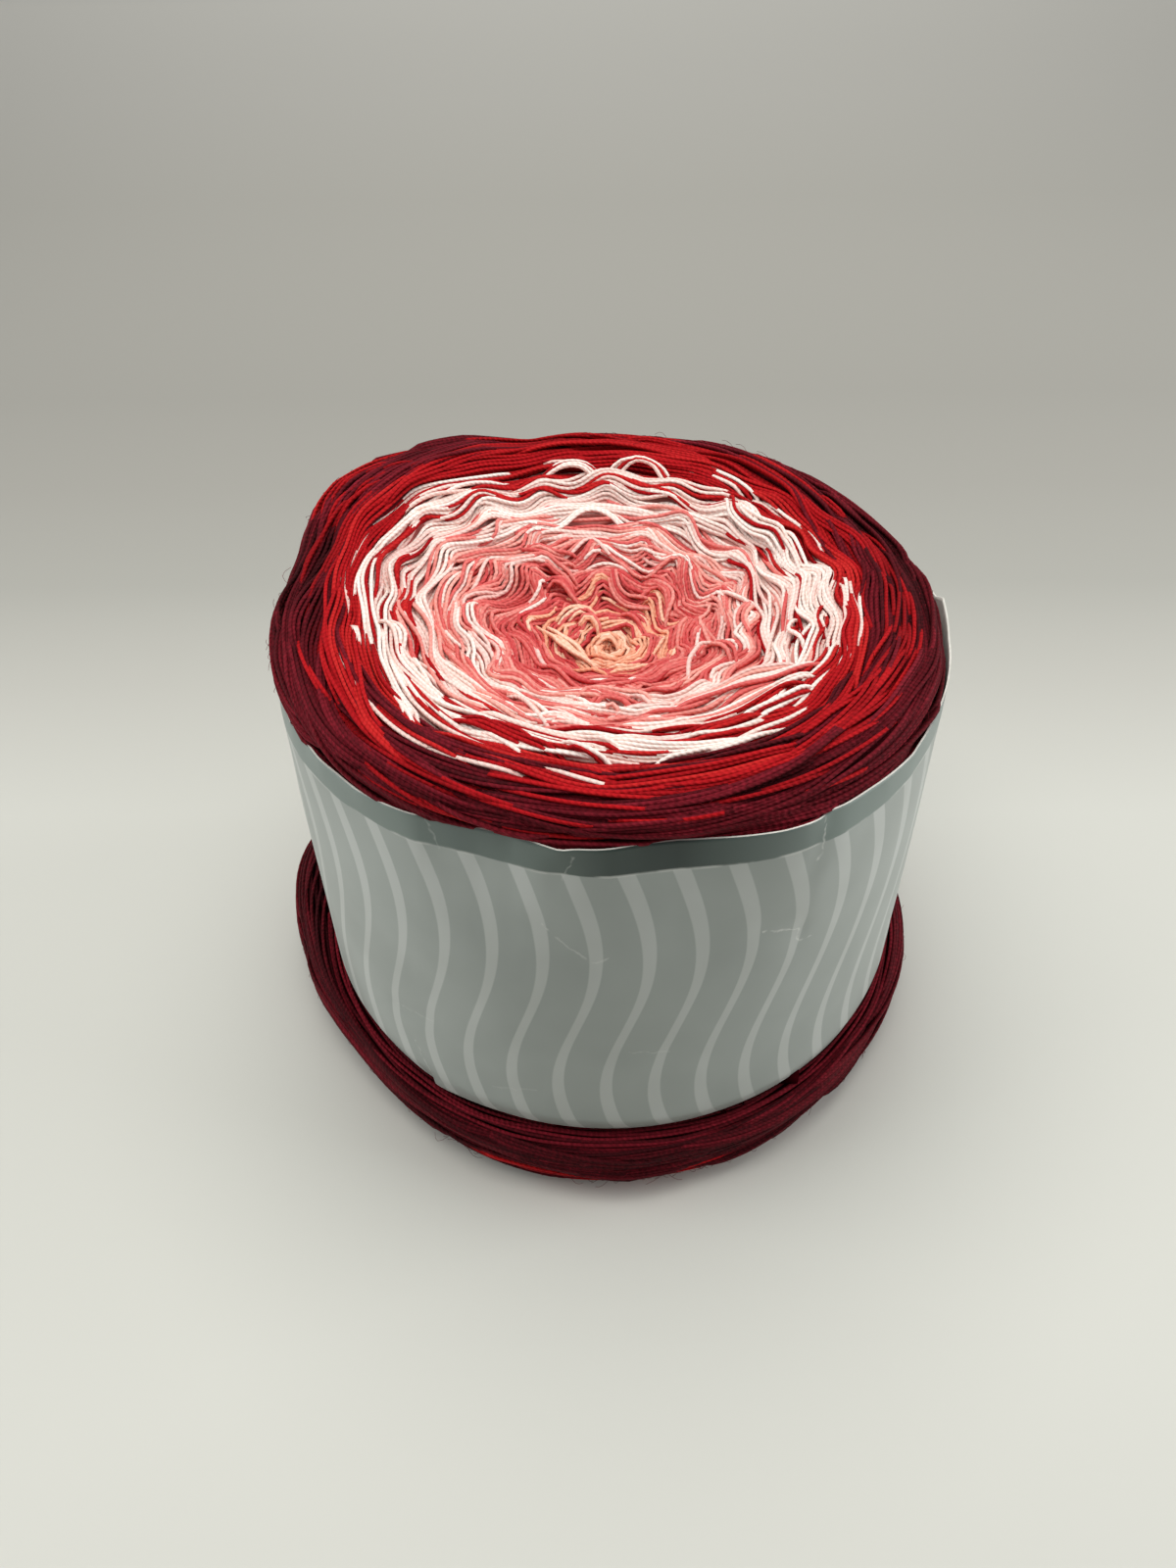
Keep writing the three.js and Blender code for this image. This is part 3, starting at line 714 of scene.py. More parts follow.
# Yarns laid where the photo shows them: the colours of their threads from left to right as they
# run, then the points they pass, as x and y from the winding axis and lift above the rest.
laidYarns = [
    ("white white red white", [(-3.4, 42.6, -.9), (-1, 43.6, .1), (1.4, 45.2, 1.7), (4.4, 46.2, 3.0),
                               (7.6, 46, 3.2), (10.2, 44.8, 2.2), (12.2, 42.6, .8), (15, 40.6, .3),
                               (18, 39.6, -.9)]),
    ("white red white white", [(-20.5, 38.4, -.9), (-16, 40.4, .1), (-12, 42.6, .9), (-8.4, 43.8, 1.6),
                               (-5, 43.8, 1.5), (-1.6, 42.8, .5), (2.6, 42.4, .2), (6.6, 42.2, -.9)]),
    ("white white red white white", [(21.5, 39.8, -.9), (24.5, 38.6, .6), (26.2, 35.2, 1.0),
                                     (26.8, 31.5, .5), (30, 27, .8), (33.8, 23.4, 1.1), (35.4, 18.2, .7),
                                     (35.8, 13, -.9)]),
    ("white red white", [(14.5, 47.6, -.9), (17.5, 47.4, .5), (20.8, 45.6, .8), (24, 42.6, .6),
                         (27.2, 40, .7), (30, 36.6, .7), (32.4, 32.6, .3), (33.4, 30.4, -1)]),
    ("white white white", [(29, 30, -.9), (31.6, 27.4, .5), (35.6, 22.4, .6), (37.6, 16.8, .6),
                           (38.6, 10.6, .6), (39.2, 4, -.8)]),
    ("white white", [(41.5, 13, -.9), (44, 10.4, .4), (44.9, 6.2, .5), (44.6, 1.2, .5), (43.8, -4.4, .5),
                     (43.6, -9.4, .5), (42.4, -16, -.9)]),
    ("white red white", [(42.8, 1.8, -.9), (40.2, -1.6, .6), (38.6, -5.6, .9), (39.2, -9.4, .8),
                         (38.2, -13.6, -.8)]),
    ("red white", [(37.4, -1, -.9), (35, -4.4, .5), (33.9, -8, .9), (35.2, -12.4, .8), (36.2, -17, -.9)]),
    ("white", [(17.6, 26.6, -.8), (15.9, 23.8, .8), (15.9, 20.4, 1.4), (17.6, 17.9, .9), (19.4, 15, -.8)]),
    ("white", [(23.6, -5, -.8), (21.4, -6.2, 1.6), (18.4, -9.4, 3.0), (15.9, -14.4, 3.1),
               (13.9, -19.8, 1.8), (12.4, -24.4, -.6)]),
    ("peach peach peach peach peach", [(-15.8, 6.4, -1), (-13.6, 3.6, .9), (-10.6, -0.2, 1.4),
                                       (-7.2, -4, 1.4), (-3.2, -7.2, 1.0), (1, -8.8, -.9)]),
    ("peach peach pink peach", [(-10.2, -.6, -.9), (-9.8, 3.8, .9), (-7.4, 7.2, 1.3), (-4.4, 8, 1.2),
                                (-1.8, 6.2, .7), (-.8, 3.6, -.8)]),
    ("pink peach peach", [(-7.2, 1.4, -.9), (-6, 5, .8), (-3.6, 6, 1.1), (-2, 3.4, .5), (-2.6, 1, -.9)]),
    ("peach peach peach", [(-4, -2.4, -.9), (-2.8, .8, .9), (0, 2.4, 1.2), (2, 0.6, .7),
                           (2.4, -2.6, -.9)]),
    ("pink pink pink pink pink", [(2.4, 21.6, -.9), (1.0, 18.6, .9), (1.6, 14.6, 1.2), (4.4, 11.6, 1.3),
                                  (8.2, 10.6, 1.1), (11.6, 12, -.9)]),
    ("pink pink pink pink", [(3, 19.6, -.9), (7.8, 16.6, .9), (11.6, 13, 1.3), (12.8, 8.4, 1.1),
                             (10.4, 3.4, .6), (9.6, 0, -.9)]),
    ("pink peach pink pink", [(-1.4, 9.4, -.9), (1.8, 9, .9), (5.2, 7.4, 1.2), (8, 3.8, .8),
                              (8.2, .6, -.9)]),
    ("pink pink pink pink pink", [(-21, 19.4, -.9), (-18.6, 21, .7), (-15.4, 19.8, 1.3),
                                  (-11.6, 19.6, 1.1), (-7.6, 20.8, 1.1), (-3.4, 19.8, -.8)]),
    ("pink white pink pink", [(-17.4, 10.4, -.9), (-16.4, 15, .9), (-12.8, 17.8, 1.4), (-9.6, 15.8, 1.0),
                              (-6.8, 13.6, .8), (-3, 13.6, -.9)]),
    ("pink pink pink pink", [(-14, 9, -.9), (-12.6, 12.6, .9), (-9.6, 13, 1.2), (-6.6, 10.8, .9),
                             (-2.6, 11.2, -.8)]),
    ("white white", [(-46, -7.6, -.9), (-42.4, -9.8, .5), (-40.8, -14.4, .7), (-39.2, -21.4, .7),
                     (-36.4, -29.4, .7), (-33, -37.6, .7), (-30, -43.6, .5), (-28, -46.8, -1)]),
    ("white white white", [(-38.6, -24.6, -1), (-36.6, -29.8, .5), (-33.8, -36, .8), (-31.2, -41.4, .6),
                           (-28.8, -45.4, -1)]),
    ("white white", [(-47, -8.8, -1), (-46.2, -12.2, .5), (-44.6, -16.8, .5), (-43, -20.6, -1)]),
    ("white white", [(-47.8, 1, -1), (-46.8, 6, .5), (-44.8, 11.6, .6), (-41.2, 17.2, .6), (-37, 23.4, .5),
                     (-33.6, 27.6, -1)]),
    ("white white white", [(-45.6, -9.4, -1), (-41.2, -10, .7), (-38.2, -12.6, .9), (-36.8, -17.6, .7),
                           (-36, -22.4, -1)]),
    ("white pink white", [(-23.4, -19.6, -.8), (-20.8, -22, .7), (-16.8, -25.4, 1.0), (-12.8, -30.8, .8),
                          (-9.2, -35.4, .7), (-6, -40.4, -1)]),
    ("white white red white", [(-30.6, -24.4, -1), (-28.4, -28, .6), (-23.4, -33.2, .8),
                               (-17.2, -37.2, .7), (-10, -39.6, .8), (-2.4, -42.6, .8), (5.6, -46, .5),
                               (9, -47.6, -1)]),
    ("white", [(-25, -38.6, -1), (-21.6, -40, .5), (-17.2, -42.8, .6), (-13.6, -46.4, .5),
               (-11, -49.4, -1)]),
    ("white red", [(-12.4, -41.2, -1), (-8.6, -43, .6), (-2.4, -46, .8), (3.4, -48.8, -1)]),
    ("white", [(.6, -49.6, -1), (5, -48.2, .6), (11, -45.8, .7), (18, -44.6, .7), (26, -44.4, -1)]),
    ("red red red red", [(-30.6, -33.6, -1), (-27, -35.8, .8), (-21.4, -38, .9), (-15.4, -41.4, .7),
                         (-9.6, -45, .6), (-4, -49, -1)]),
    ("red red white red", [(6, -40.6, -1), (12, -40.4, .7), (19, -39.6, .8), (25.6, -36.4, .7),
                           (30.6, -32, -1)]),
    ("pink white pink pink", [(-8.6, -29.4, -.9), (-6, -25.4, .8), (-2.2, -22.6, 1.2), (2.4, -22.8, 1.1),
                              (6.8, -25.6, .9), (10.6, -29, -.9)]),
    ("pink pink pink", [(-5, -29.6, -.9), (-2.8, -26.6, .9), (.2, -25.2, 1.2), (3.4, -26.4, 1.0),
                        (5.8, -29.8, -.9)]),
    ("pink pink", [(-1.8, -30, -.9), (-.4, -28.2, .9), (1.4, -28.4, .9), (2.6, -30.6, -.9)]),
    ("white pink white white pink", [(5.4, -32.6, -1), (10.6, -30, .9), (16.8, -26.8, 1.1),
                                     (23.4, -23.4, 1.0), (30, -20.8, .9), (36, -19.8, .7),
                                     (42.4, -17.4, -.9)]),
    ("white pink white red", [(3.4, -33.8, -1), (8, -35.2, .7), (13.8, -35.4, .8), (20.4, -32.4, .8),
                              (27, -28.6, .8), (33.6, -25.4, .7), (40.6, -21.6, -1)]),
    ("white red white", [(16.4, -39.8, -1), (22.4, -37, .6), (28.6, -33, .7), (34.2, -28.8, .7),
                         (39.4, -25, -1)]),
    ("pink pink pink white", [(30.4, 9.6, -.9), (27.6, 5.4, .7), (25.6, .4, .9), (25.8, -4.6, .7),
                              (27.4, -9, -.9)]),
    ("pink pink pink", [(13.6, -8.8, -.9), (17, -6.4, .6), (21, -8.6, .9), (22.8, -13.6, .9),
                        (21, -18.6, -.9)]),
    ("white pink white", [(24.8, 16.6, -.9), (22.8, 11.6, .7), (24.4, 6.8, .9), (28.2, 3.4, .8),
                          (29.8, -2, -.9)]),
]


laid = {"spacing": 1.1, "farthest": 60}  # mm between points, and the last ring that a laid yarn reaches


def curveThrough(points, spacing):  # a smooth line through the points, sampled evenly
    p = np.array([points[0]] + list(points) + [points[-1]], float)
    line = []
    for i in range(1, len(p) - 2):
        count = max(2, int(np.linalg.norm(p[i + 1, :2] - p[i, :2]) / spacing))
        t = (np.arange(count) / count)[:, None]
        before, here, after, beyond = p[i - 1:i + 3]
        square = 2 * before - 5 * here + 4 * after - beyond
        cube = 3 * here - before - 3 * after + beyond
        line.append(0.5 * (2 * here + (after - before) * t + square * t ** 2 + cube * t ** 3))
    return np.concatenate(line + [p[-2:-1]])


def layYarns(rng, strands):
    for colours, points in laidYarns:
        names = colours.split()
        line = curveThrough(points, laid["spacing"])
        run = np.concatenate([[0], np.cumsum(np.linalg.norm(np.diff(line[:, :2], axis=0), axis=1))])
        n = len(line)
        ahead = unit(np.gradient(line[:, :2], axis=0))
        left = np.stack([-ahead[:, 1], ahead[:, 0]], -1)
        s = np.linspace(0, 1, n)
        turn = rng.uniform(-0.4, 0.4) + rng.uniform(-1.0, 1.0) * s
        for k, zone in enumerate(names):
            beside = ((len(names) - 1) / 2 - k) * thread["spacing"]
            beside = beside * (0.6 + 0.4 * ends(run, 0, run[-1]))
            wobble = 0.2 * np.sin(np.arange(n) / rng.uniform(2, 5) + rng.uniform(0, tau))
            first, final = rng.uniform(0, 0.2) * run[-1], rng.uniform(0.8, 1) * run[-1]
            spot = line[:, :2] + left * (beside * np.cos(turn) + wobble)[:, None]
            lift = 0.15 + line[:, 2] + 0.6 * beside * np.sin(turn) + rng.uniform(-0.2, 0.2)
            lift = lift - yarn["laidDive"] * (1 - ends(run, first, final, min(8, 0.3 * run[-1])))
            angle, ring = np.arctan2(spot[:, 1], spot[:, 0]), np.hypot(spot[:, 0], spot[:, 1])
            heave = swayed(angle, ring)[2]
            place = np.minimum(ring, laid["farthest"])
            spots, normals = onSection(crownSection, angle, place, lift + 0.5 * heave)
            cut = (run >= first) & (run <= final)
            tone = toneOf(zone, float(ring.mean()), lift, rng, n)
            strands[zone].append((spots[cut], normals[cut], tone[cut], False))


skirtLayers = [
    {"from": 1.4, "depth": -1.5, "gap": 2.9, "length": None, "lead": 0.0},
    {"from": 2.2, "depth": -1.05, "gap": 2.7, "length": (70, 150), "lead": 2.5},
    {"from": 2.2, "depth": -0.65, "gap": 2.8, "length": (40, 110), "lead": 6.0},
]
underReds = {"from": -128, "to": -48, "low": 4.0, "high": 13.0, "share": 0.55}  # red yarns low at the front


def windSkirt(layer, rng, strands):  # the same round the skirt, counted in mm up from the floor
    last, closed = cake["skirtArc"] - 0.5, layer["length"] is None
    for middle, length, halfway, t, angle in arcs(layer, rng, last, 10, cake["skirtRadius"]):
        lead = rng.uniform(-1, 0.6) * layer["lead"] * length / yarn["lead"]
        route = middle + lead * (t - 0.5) + 0.7 * ripple(rng, (2, 9), angle)
        turn = (0.2 if closed else 0.7) * ripple(rng, (2, 7), angle)
        rise = 0 if closed else 0.55 * (t - 0.5) * np.sign(lead)
        depth = layer["depth"] + rng.uniform(-0.1, 0.1) + rise
        azimuth = (halfway + 180) % 360 - 180
        under = underReds["from"] < azimuth < underReds["to"]
        under = under and underReds["low"] < middle < underReds["high"] and not closed
        zone = "red" if under and rng.uniform() < underReds["share"] else "burgundy"
        late, early = rng.uniform(-yarn["stagger"], yarn["stagger"], 2)
        for k in range(thread["inYarn"]):
            beside = (k - (thread["inYarn"] - 1) / 2) * thread["spacing"]
            jitter = 0.16 * ripple(rng, (4, 14), angle, 4)
            place = np.clip(route + beside * np.cos(turn) + jitter, 0.3, last)
            lift = depth + 0.7 * beside * np.sin(turn) + 0.12 * jitter
            lift = lift + around(skirtEase, np.degrees(angle)) + 0.9 * smooth(place, 17, 23)
            cut = slice(None)
            if not closed:
                first, final, cut = threadEnds(t * length, length, late, early, k)
                lift = lift - yarn["skirtDive"] * (1 - ends(t * length, first, final))
            points, normals = onSection(skirtSection, angle, place, lift)
            points[:, 2] = np.maximum(points[:, 2], thread["width"] / 2)
            tone = toneOf(zone, 51 if zone == "red" else wallRing, depth + 0.5, rng, len(t))
            tone = tone + rng.uniform(-0.34, -0.06)  # the skirt's threads are made darker still in tone
            strands[zone].append((points[cut], normals[cut], tone[cut], closed))


neck = {"turns": 7, "apart": 0.74, "rise": 0.06, "points": 200, "paperRoom": 0.25}


def windNeck(rng, strands):  # single turns that run in under the paper's lower edge
    angle = np.linspace(0, tau, neck["points"], endpoint=False)
    edge = cake["skirtArc"] - 0.8
    for i in range(neck["turns"]):
        unrest = 0.3 * ripple(rng, (3, 16), angle, 9)
        lift = around(skirtEase, np.degrees(angle)) + 0.2
        points, normals = onSection(skirtSection, angle, edge + 0 * angle, lift)
        inward = neck["apart"] * (i - 0.5) + unrest
        down = 0.12 * unrest - neck["rise"] * i
        points -= np.stack([np.cos(angle) * inward, np.sin(angle) * inward, down], -1)
        behindPaper(points, neck["paperRoom"])
        tone = toneOf("burgundy", wallRing, 0 * angle, rng, len(angle))
        strands["burgundy"].append((points, normals, tone, True))


# the haze of loose fibres that stands off the yarn
fibre = {"width": 0.085, "steps": 5, "sides": 3}
fuzz = [  # which section, how many fibres, from and to place on it, and the longest in mm
    ("crown", 260, 46, 58, 2.2), ("crown", 1900, 56, 77, 1.8), ("crown", 320, 62, 77, 5.0),
    ("skirt", 1500, 3, 24, 1.7), ("skirt", 180, 4, 24, 4.5),
]


def looseFibres(rng):
    found = []
    for name, count, low, high, longest in fuzz:
        section = crownSection if name == "crown" else skirtSection
        for _ in range(count):
            angle, place = rng.uniform(0, tau), rng.uniform(low, high)
            ease = rimLift(angle, place) if name == "crown" else around(skirtEase, degrees(angle)) - 0.5
            spots, normals = onSection(section, np.array([angle]), np.array([place]), 0.1 + ease)
            point, normal = spots[0], normals[0]
            along = np.array([-sin(angle), cos(angle), 0]) * rng.choice((-1, 1))
            across = np.cross(normal, along)
            length = rng.uniform(0.35, 1) ** 1.5 * longest
            s = np.linspace(0, 1, fibre["steps"])[:, None]
            height = rng.uniform(0.15, 0.5) * length * np.sin(s * rng.uniform(1.2, 3.0))
            bend = rng.uniform(-0.35, 0.35) * length * s ** 2
            line = point + along * s * length * 0.85 + normal * height + across * bend
            line[:, 2] = np.maximum(line[:, 2], 0.1)
            if name == "crown" and point[2] < paper["top"] + 0.6:
                continue
            tone = rng.uniform(0.5, 1.0) + 0 * s[:, 0]
            found.append((line, np.repeat(normal[None], len(s), 0), tone, False))
    return found


crownThreads = {zone: [] for zone in zones["names"]}
skirtThreads = {"red": [], "burgundy": []}
rng = np.random.default_rng(21)
for layer in layers:
    windCrown(layer, rng, crownThreads)
windStrays(rng, crownThreads)
layYarns(rng, crownThreads)
for layer in skirtLayers:
    windSkirt(layer, rng, skirtThreads)
windNeck(rng, skirtThreads)
crownThreads["red"] += skirtThreads["red"]

yarnMaterials = {zone: spunYarn("spun_cotton_blend_" + zone, yarnTones[zone], *yarnPaintedShadeAndHaze[zone])
                 for zone in zones["names"]}
pieces = [threadMesh("threads_" + zone, crownThreads[zone], yarnMaterials[zone]) for zone in zones["names"]]
pieces.append(threadMesh("threads_skirt", skirtThreads["burgundy"], yarnMaterials["burgundy"]))
pieces.append(threadMesh("loose_fibres", looseFibres(rng), yarnMaterials["burgundy"], fibre["width"],
                         fibre["sides"]))
print("threads wound")


packed = {
    "inset": 1.55,             # mm that it lies under the solid's surface
    "voxel": 0.0019,           # m
    "farthestRing": 60,
    "crownAbove": 80,          # mm up, where it follows the threads' heave
    "skirtBelow": 17.5,        # mm up, where it draws in with the skirt
    "skirtFrom": (52, 60),
    "paperRoom": 1.2,
    "colourReach": 70,         # mm from the axis to the end of the colours
    # the yarn's colours by radius, made darker than the threads': painted shade in the gaps between them
    "colours": [(0.08, "#E08A6E"), (0.2, "#D86A64"), (0.4, "#E08A84"), (0.56, "#E2A8A0"), (0.64, "#9A0E16"),
                (0.76, "#860812"), (0.84, "#300309")],
}


def packedYarn():
    # The same dyed yarn seen deep between the threads: matt, and only its colour shows, made darker as
    # painted shade.
    m = newMaterial("packed_cotton_blend")
    place = node(m, "TexCoord")
    moved = node(m, "Mapping", {"Vector": place.outputs["Object"]},
                 {"Location": (-cake["axis"][0] * mm, -cake["axis"][1] * mm, 0)})
    parts = node(m, "SeparateXYZ", {"Vector": moved.outputs["Vector"]})
    flat = node(m, "CombineXYZ", {"X": parts.outputs["X"], "Y": parts.outputs["Y"]})
    radius = node(m, "VectorMath", {0: flat.outputs["Vector"]}, operation="LENGTH")
    share = node(m, "Math", {0: radius.outputs["Value"]}, {1: packed["colourReach"] * mm},
                 operation="DIVIDE")
    body = ramp(m, share.outputs[0], packed["colours"])
    shader = node(m, "BsdfPrincipled", {"Base Color": body.outputs["Color"]},
                  {"Roughness": 0.95, "IOR": thread["ior"], "Specular IOR Level": 0.0})
    return finishMaterial(m, shader)


def yarnCore():
    mesh = cadCake.data.copy()
    mesh.name = "yarn_core"
    made = addObject("yarn_core", mesh)
    remesh = made.modifiers.new("remesh", "REMESH")
    remesh.mode, remesh.voxel_size, remesh.use_smooth_shade = "VOXEL", packed["voxel"], True
    applied = bpy.data.meshes.new_from_object(made.evaluated_get(bpy.context.evaluated_depsgraph_get()))
    made.modifiers.clear()
    made.data = applied
    applied.name = "yarn_core"
    co, no = np.zeros(len(applied.vertices) * 3), np.zeros(len(applied.vertices) * 3)
    applied.vertices.foreach_get("co", co)
    applied.vertices.foreach_get("normal", no)
    x, y, z = (co.reshape(-1, 3) / mm - (*cake["axis"], 0)).T
    angle, r = np.arctan2(y, x), np.hypot(x, y)
    ease = swayed(angle, np.minimum(r, packed["farthestRing"]))[2] * (z > packed["crownAbove"])
    drawnIn = np.minimum(around(skirtEase, np.degrees(angle)), 0) * (z < packed["skirtBelow"])
    ease = ease + drawnIn * smooth(r, *packed["skirtFrom"])
    points = (co + no * np.repeat(ease - packed["inset"], 3) * mm).reshape(-1, 3) / mm
    behindPaper(points, packed["paperRoom"])
    applied.vertices.foreach_set("co", (points * mm).ravel())
    applied.materials.clear()
    applied.materials.append(packedYarn())
    applied.update()
    print("yarn_core", len(applied.polygons), "faces")
    return made


core = yarnCore()
for piece in pieces + [core]:
    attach(piece, "root")
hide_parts("yarn_cake")
for piece in pieces:
    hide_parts("yarn_cake")


def foldLines(m, sheet):  # how much white fibre shows along each crease
    jitter = node(m, "TexNoise", {"Vector": sheet}, {"Scale": 0.5, "Detail": 1.5})
    small = node(m, "VectorMath", {0: jitter.outputs["Color"]}, {"Scale": 1.6}, operation="SCALE")
    spot = node(m, "VectorMath", {0: sheet, 1: small.outputs[0]}, operation="ADD")
    meanShift = Vector((0.8, 0.8, 0.8))  # the jitter's own
    most = 0.0
    for one, other, _, worn in paperCreases:
        a = Vector((*onStrip(*one), 0)) + meanShift
        d = Vector((*onStrip(*other), 0)) + meanShift - a
        away = node(m, "VectorMath", {0: spot.outputs[0]}, {1: a}, operation="SUBTRACT")
        share = node(m, "VectorMath", {0: away.outputs[0]}, {1: d / d.length_squared},
                     operation="DOT_PRODUCT")
        held = node(m, "Math", {0: share.outputs["Value"]}, {1: 0.0}, operation="ADD", use_clamp=True)
        near = node(m, "VectorMath", {"Scale": held.outputs[0]}, {0: d}, operation="SCALE")
        gap = node(m, "VectorMath", {0: away.outputs[0], 1: near.outputs[0]}, operation="DISTANCE")
        line = node(m, "MapRange", {"Value": gap.outputs["Value"]},
                    {"From Min": 0.06, "From Max": 0.3, "To Min": 0.7 * worn, "To Max": 0.0})
        joined = node(m, "Math", {0: line.outputs[0]}, {1: 0.0}, operation="MAXIMUM")
        if most:
            m.node_tree.links.new(most, joined.inputs[1])
        most = joined.outputs[0]
    return most


def alongStripStops(rows):  # rows of (azimuth, colour) turned into a ramp along the sheet
    spots = sorted((float(onStrip(azimuth, 0)[0]), shade) for azimuth, shade in rows)
    low, high = spots[0][0], spots[-1][0]
    return {"from": low, "to": high, "stops": [((u - low) / (high - low), shade) for u, shade in spots]}


# the printed border, made darker and paler along the sheet as painted shade and reflection where it leans in
# and out towards the lights
borderPrintAndShade = alongStripStops([
    (-160, "#7C8884"), (-122, "#727F7A"), (-114, "#5C6965"), (-104, "#66736E"), (-96, "#525F5A"),
    (-90, "#35423E"), (-80, "#2D3936"), (-72, "#4C5955"), (-62, "#687571"), (-54, "#76837E"),
    (-30, "#7C8884"), (60, "#74817C"),
])


def coatedPaper():
    # Machine-made label paper, printed and satin coated: a broad soft gloss, and white fibre where it
    # is creased or torn. The stripes are about 2.4 mm wide and 9.1 mm apart.
    # Its colour also carries a painted highlight along the upper fold.
    m = newMaterial("satin_coated_label_paper")
    flat = node(m, "UVMap", uv_map="sheet")  # millimetres along and up the strip
    parts = node(m, "SeparateXYZ", {"Vector": flat.outputs["UV"]})
    x, y = parts.outputs["X"], parts.outputs["Y"]
    up = node(m, "Math", {0: y}, {1: paper["stripeCrest"]}, operation="SUBTRACT")
    phase = node(m, "Math", {0: up.outputs[0]}, {1: tau / paper["stripePeriod"]}, operation="MULTIPLY")
    wave = node(m, "Math", {0: phase.outputs[0]}, operation="COSINE")
    slope = node(m, "Math", {0: phase.outputs[0]}, operation="SINE")
    shifted = node(m, "Math", {0: wave.outputs[0], 2: x}, {1: -paper["stripeSway"]}, operation="MULTIPLY_ADD")
    placed = node(m, "Math", {0: shifted.outputs[0]}, {1: paper["stripeAt"]}, operation="ADD")
    folded = node(m, "Math", {0: placed.outputs[0]}, {1: paper["stripePitch"] / 2}, operation="PINGPONG")
    swollen = node(m, "Math", {0: slope.outputs[0], 2: folded.outputs[0]}, {1: -paper["stripeSwell"] / 2},
                   operation="MULTIPLY_ADD")
    half, soft = paper["stripeWidth"] / 2, paper["printEdge"]
    stripe = node(m, "MapRange", {"Value": swollen.outputs[0]},
                  {"From Min": half - soft, "From Max": half + soft, "To Min": 1.0, "To Max": 0.0})
    place = node(m, "TexCoord")
    mottle = node(m, "TexNoise", {"Vector": place.outputs["Object"]}, {"Scale": 45.0, "Detail": 2.0})
    ground = ramp(m, mottle.outputs["Fac"], [(0.3, "#929995"), (0.7, "#9DA4A0")])
    pale = ramp(m, mottle.outputs["Fac"], [(0.3, "#ADB2AE"), (0.7, "#B8BDBA")])
    printed = node(m, "MixRGB", {"Fac": stripe.outputs[0], "Color1": ground.outputs["Color"],
                                 "Color2": pale.outputs["Color"]})
    inBorder = node(m, "MapRange", {"Value": y},
                    {"From Min": upperFold - soft, "From Max": upperFold + soft})
    folds = node(m, "MapRange", {"Value": x},
                 {"From Min": borderPrintAndShade["from"], "From Max": borderPrintAndShade["to"]})
    # the printed border's colour, with painted shade and reflection along it
    printAndShade = ramp(m, folds.outputs[0], borderPrintAndShade["stops"])
    bordered = node(m, "MixRGB", {"Fac": inBorder.outputs[0], "Color1": printed.outputs["Color"],
                                  "Color2": printAndShade.outputs["Color"]})
    # paler along the upper fold, in patches: painted highlight on the fold, with worn coating
    fold = node(m, "Math", {0: y}, {1: upperFold}, operation="SUBTRACT")
    line = node(m, "Math", {0: fold.outputs[0]}, operation="ABSOLUTE")
    worn = node(m, "MapRange", {"Value": line.outputs[0]},
                {"From Min": 0.16, "From Max": 0.34, "To Min": 0.5, "To Max": 0.0})
    rim = node(m, "MapRange", {"Value": y},
               {"From Min": 0.2, "From Max": 0.45, "To Min": 0.75, "To Max": 0.0})
    scuffs = node(m, "TexNoise", {"Vector": place.outputs["Object"]}, {"Scale": 160.0, "Detail": 3.0})
    patchy = node(m, "MapRange", {"Value": scuffs.outputs["Fac"]}, {"From Min": 0.42, "From Max": 0.6})
    foldHighlightAndWear = node(m, "Math", {0: worn.outputs[0], 1: patchy.outputs[0]}, operation="MULTIPLY")
    creased = foldLines(m, flat.outputs["UV"])
    edges = node(m, "Math", {0: foldHighlightAndWear.outputs[0], 1: rim.outputs[0]}, operation="MAXIMUM")
    both = node(m, "Math", {0: edges.outputs[0], 1: creased}, operation="MAXIMUM")
    body = node(m, "MixRGB", {"Fac": both.outputs[0], "Color1": bordered.outputs["Color"]},
                {"Color2": colour("#D6D8D3")})
    buckle = node(m, "Bump", {"Height": mottle.outputs["Fac"]}, {"Strength": 0.35, "Distance": 0.0008})
    shader = node(m, "BsdfPrincipled",
                  {"Base Color": body.outputs["Color"], "Normal": buckle.outputs["Normal"]},
                  {"Roughness": paper["roughness"], "IOR": paper["ior"]})
    return finishMaterial(m, shader)


def barePaper():
    # The uncoated white core of the same paper, seen on its cut edge and its inner face.
    m = newMaterial("uncoated_paper_core")
    place = node(m, "TexCoord")
    grain = node(m, "TexNoise", {"Vector": place.outputs["Object"]}, {"Scale": 700.0, "Detail": 3.0})
    body = ramp(m, grain.outputs["Fac"], [(0.3, "#CFCEC7"), (0.7, "#E4E3DD")])
    shader = node(m, "BsdfPrincipled", {"Base Color": body.outputs["Color"]}, {"Roughness": 0.8, "IOR": 1.5})
    return finishMaterial(m, shader)


def edgeFaces(line, half, turned):  # from the outer face's edge over to the inner face's
    a, b = line[:-1], line[1:]
    return np.stack((a, a + half, b + half, b) if turned else (a, b, b + half, a + half), -1)


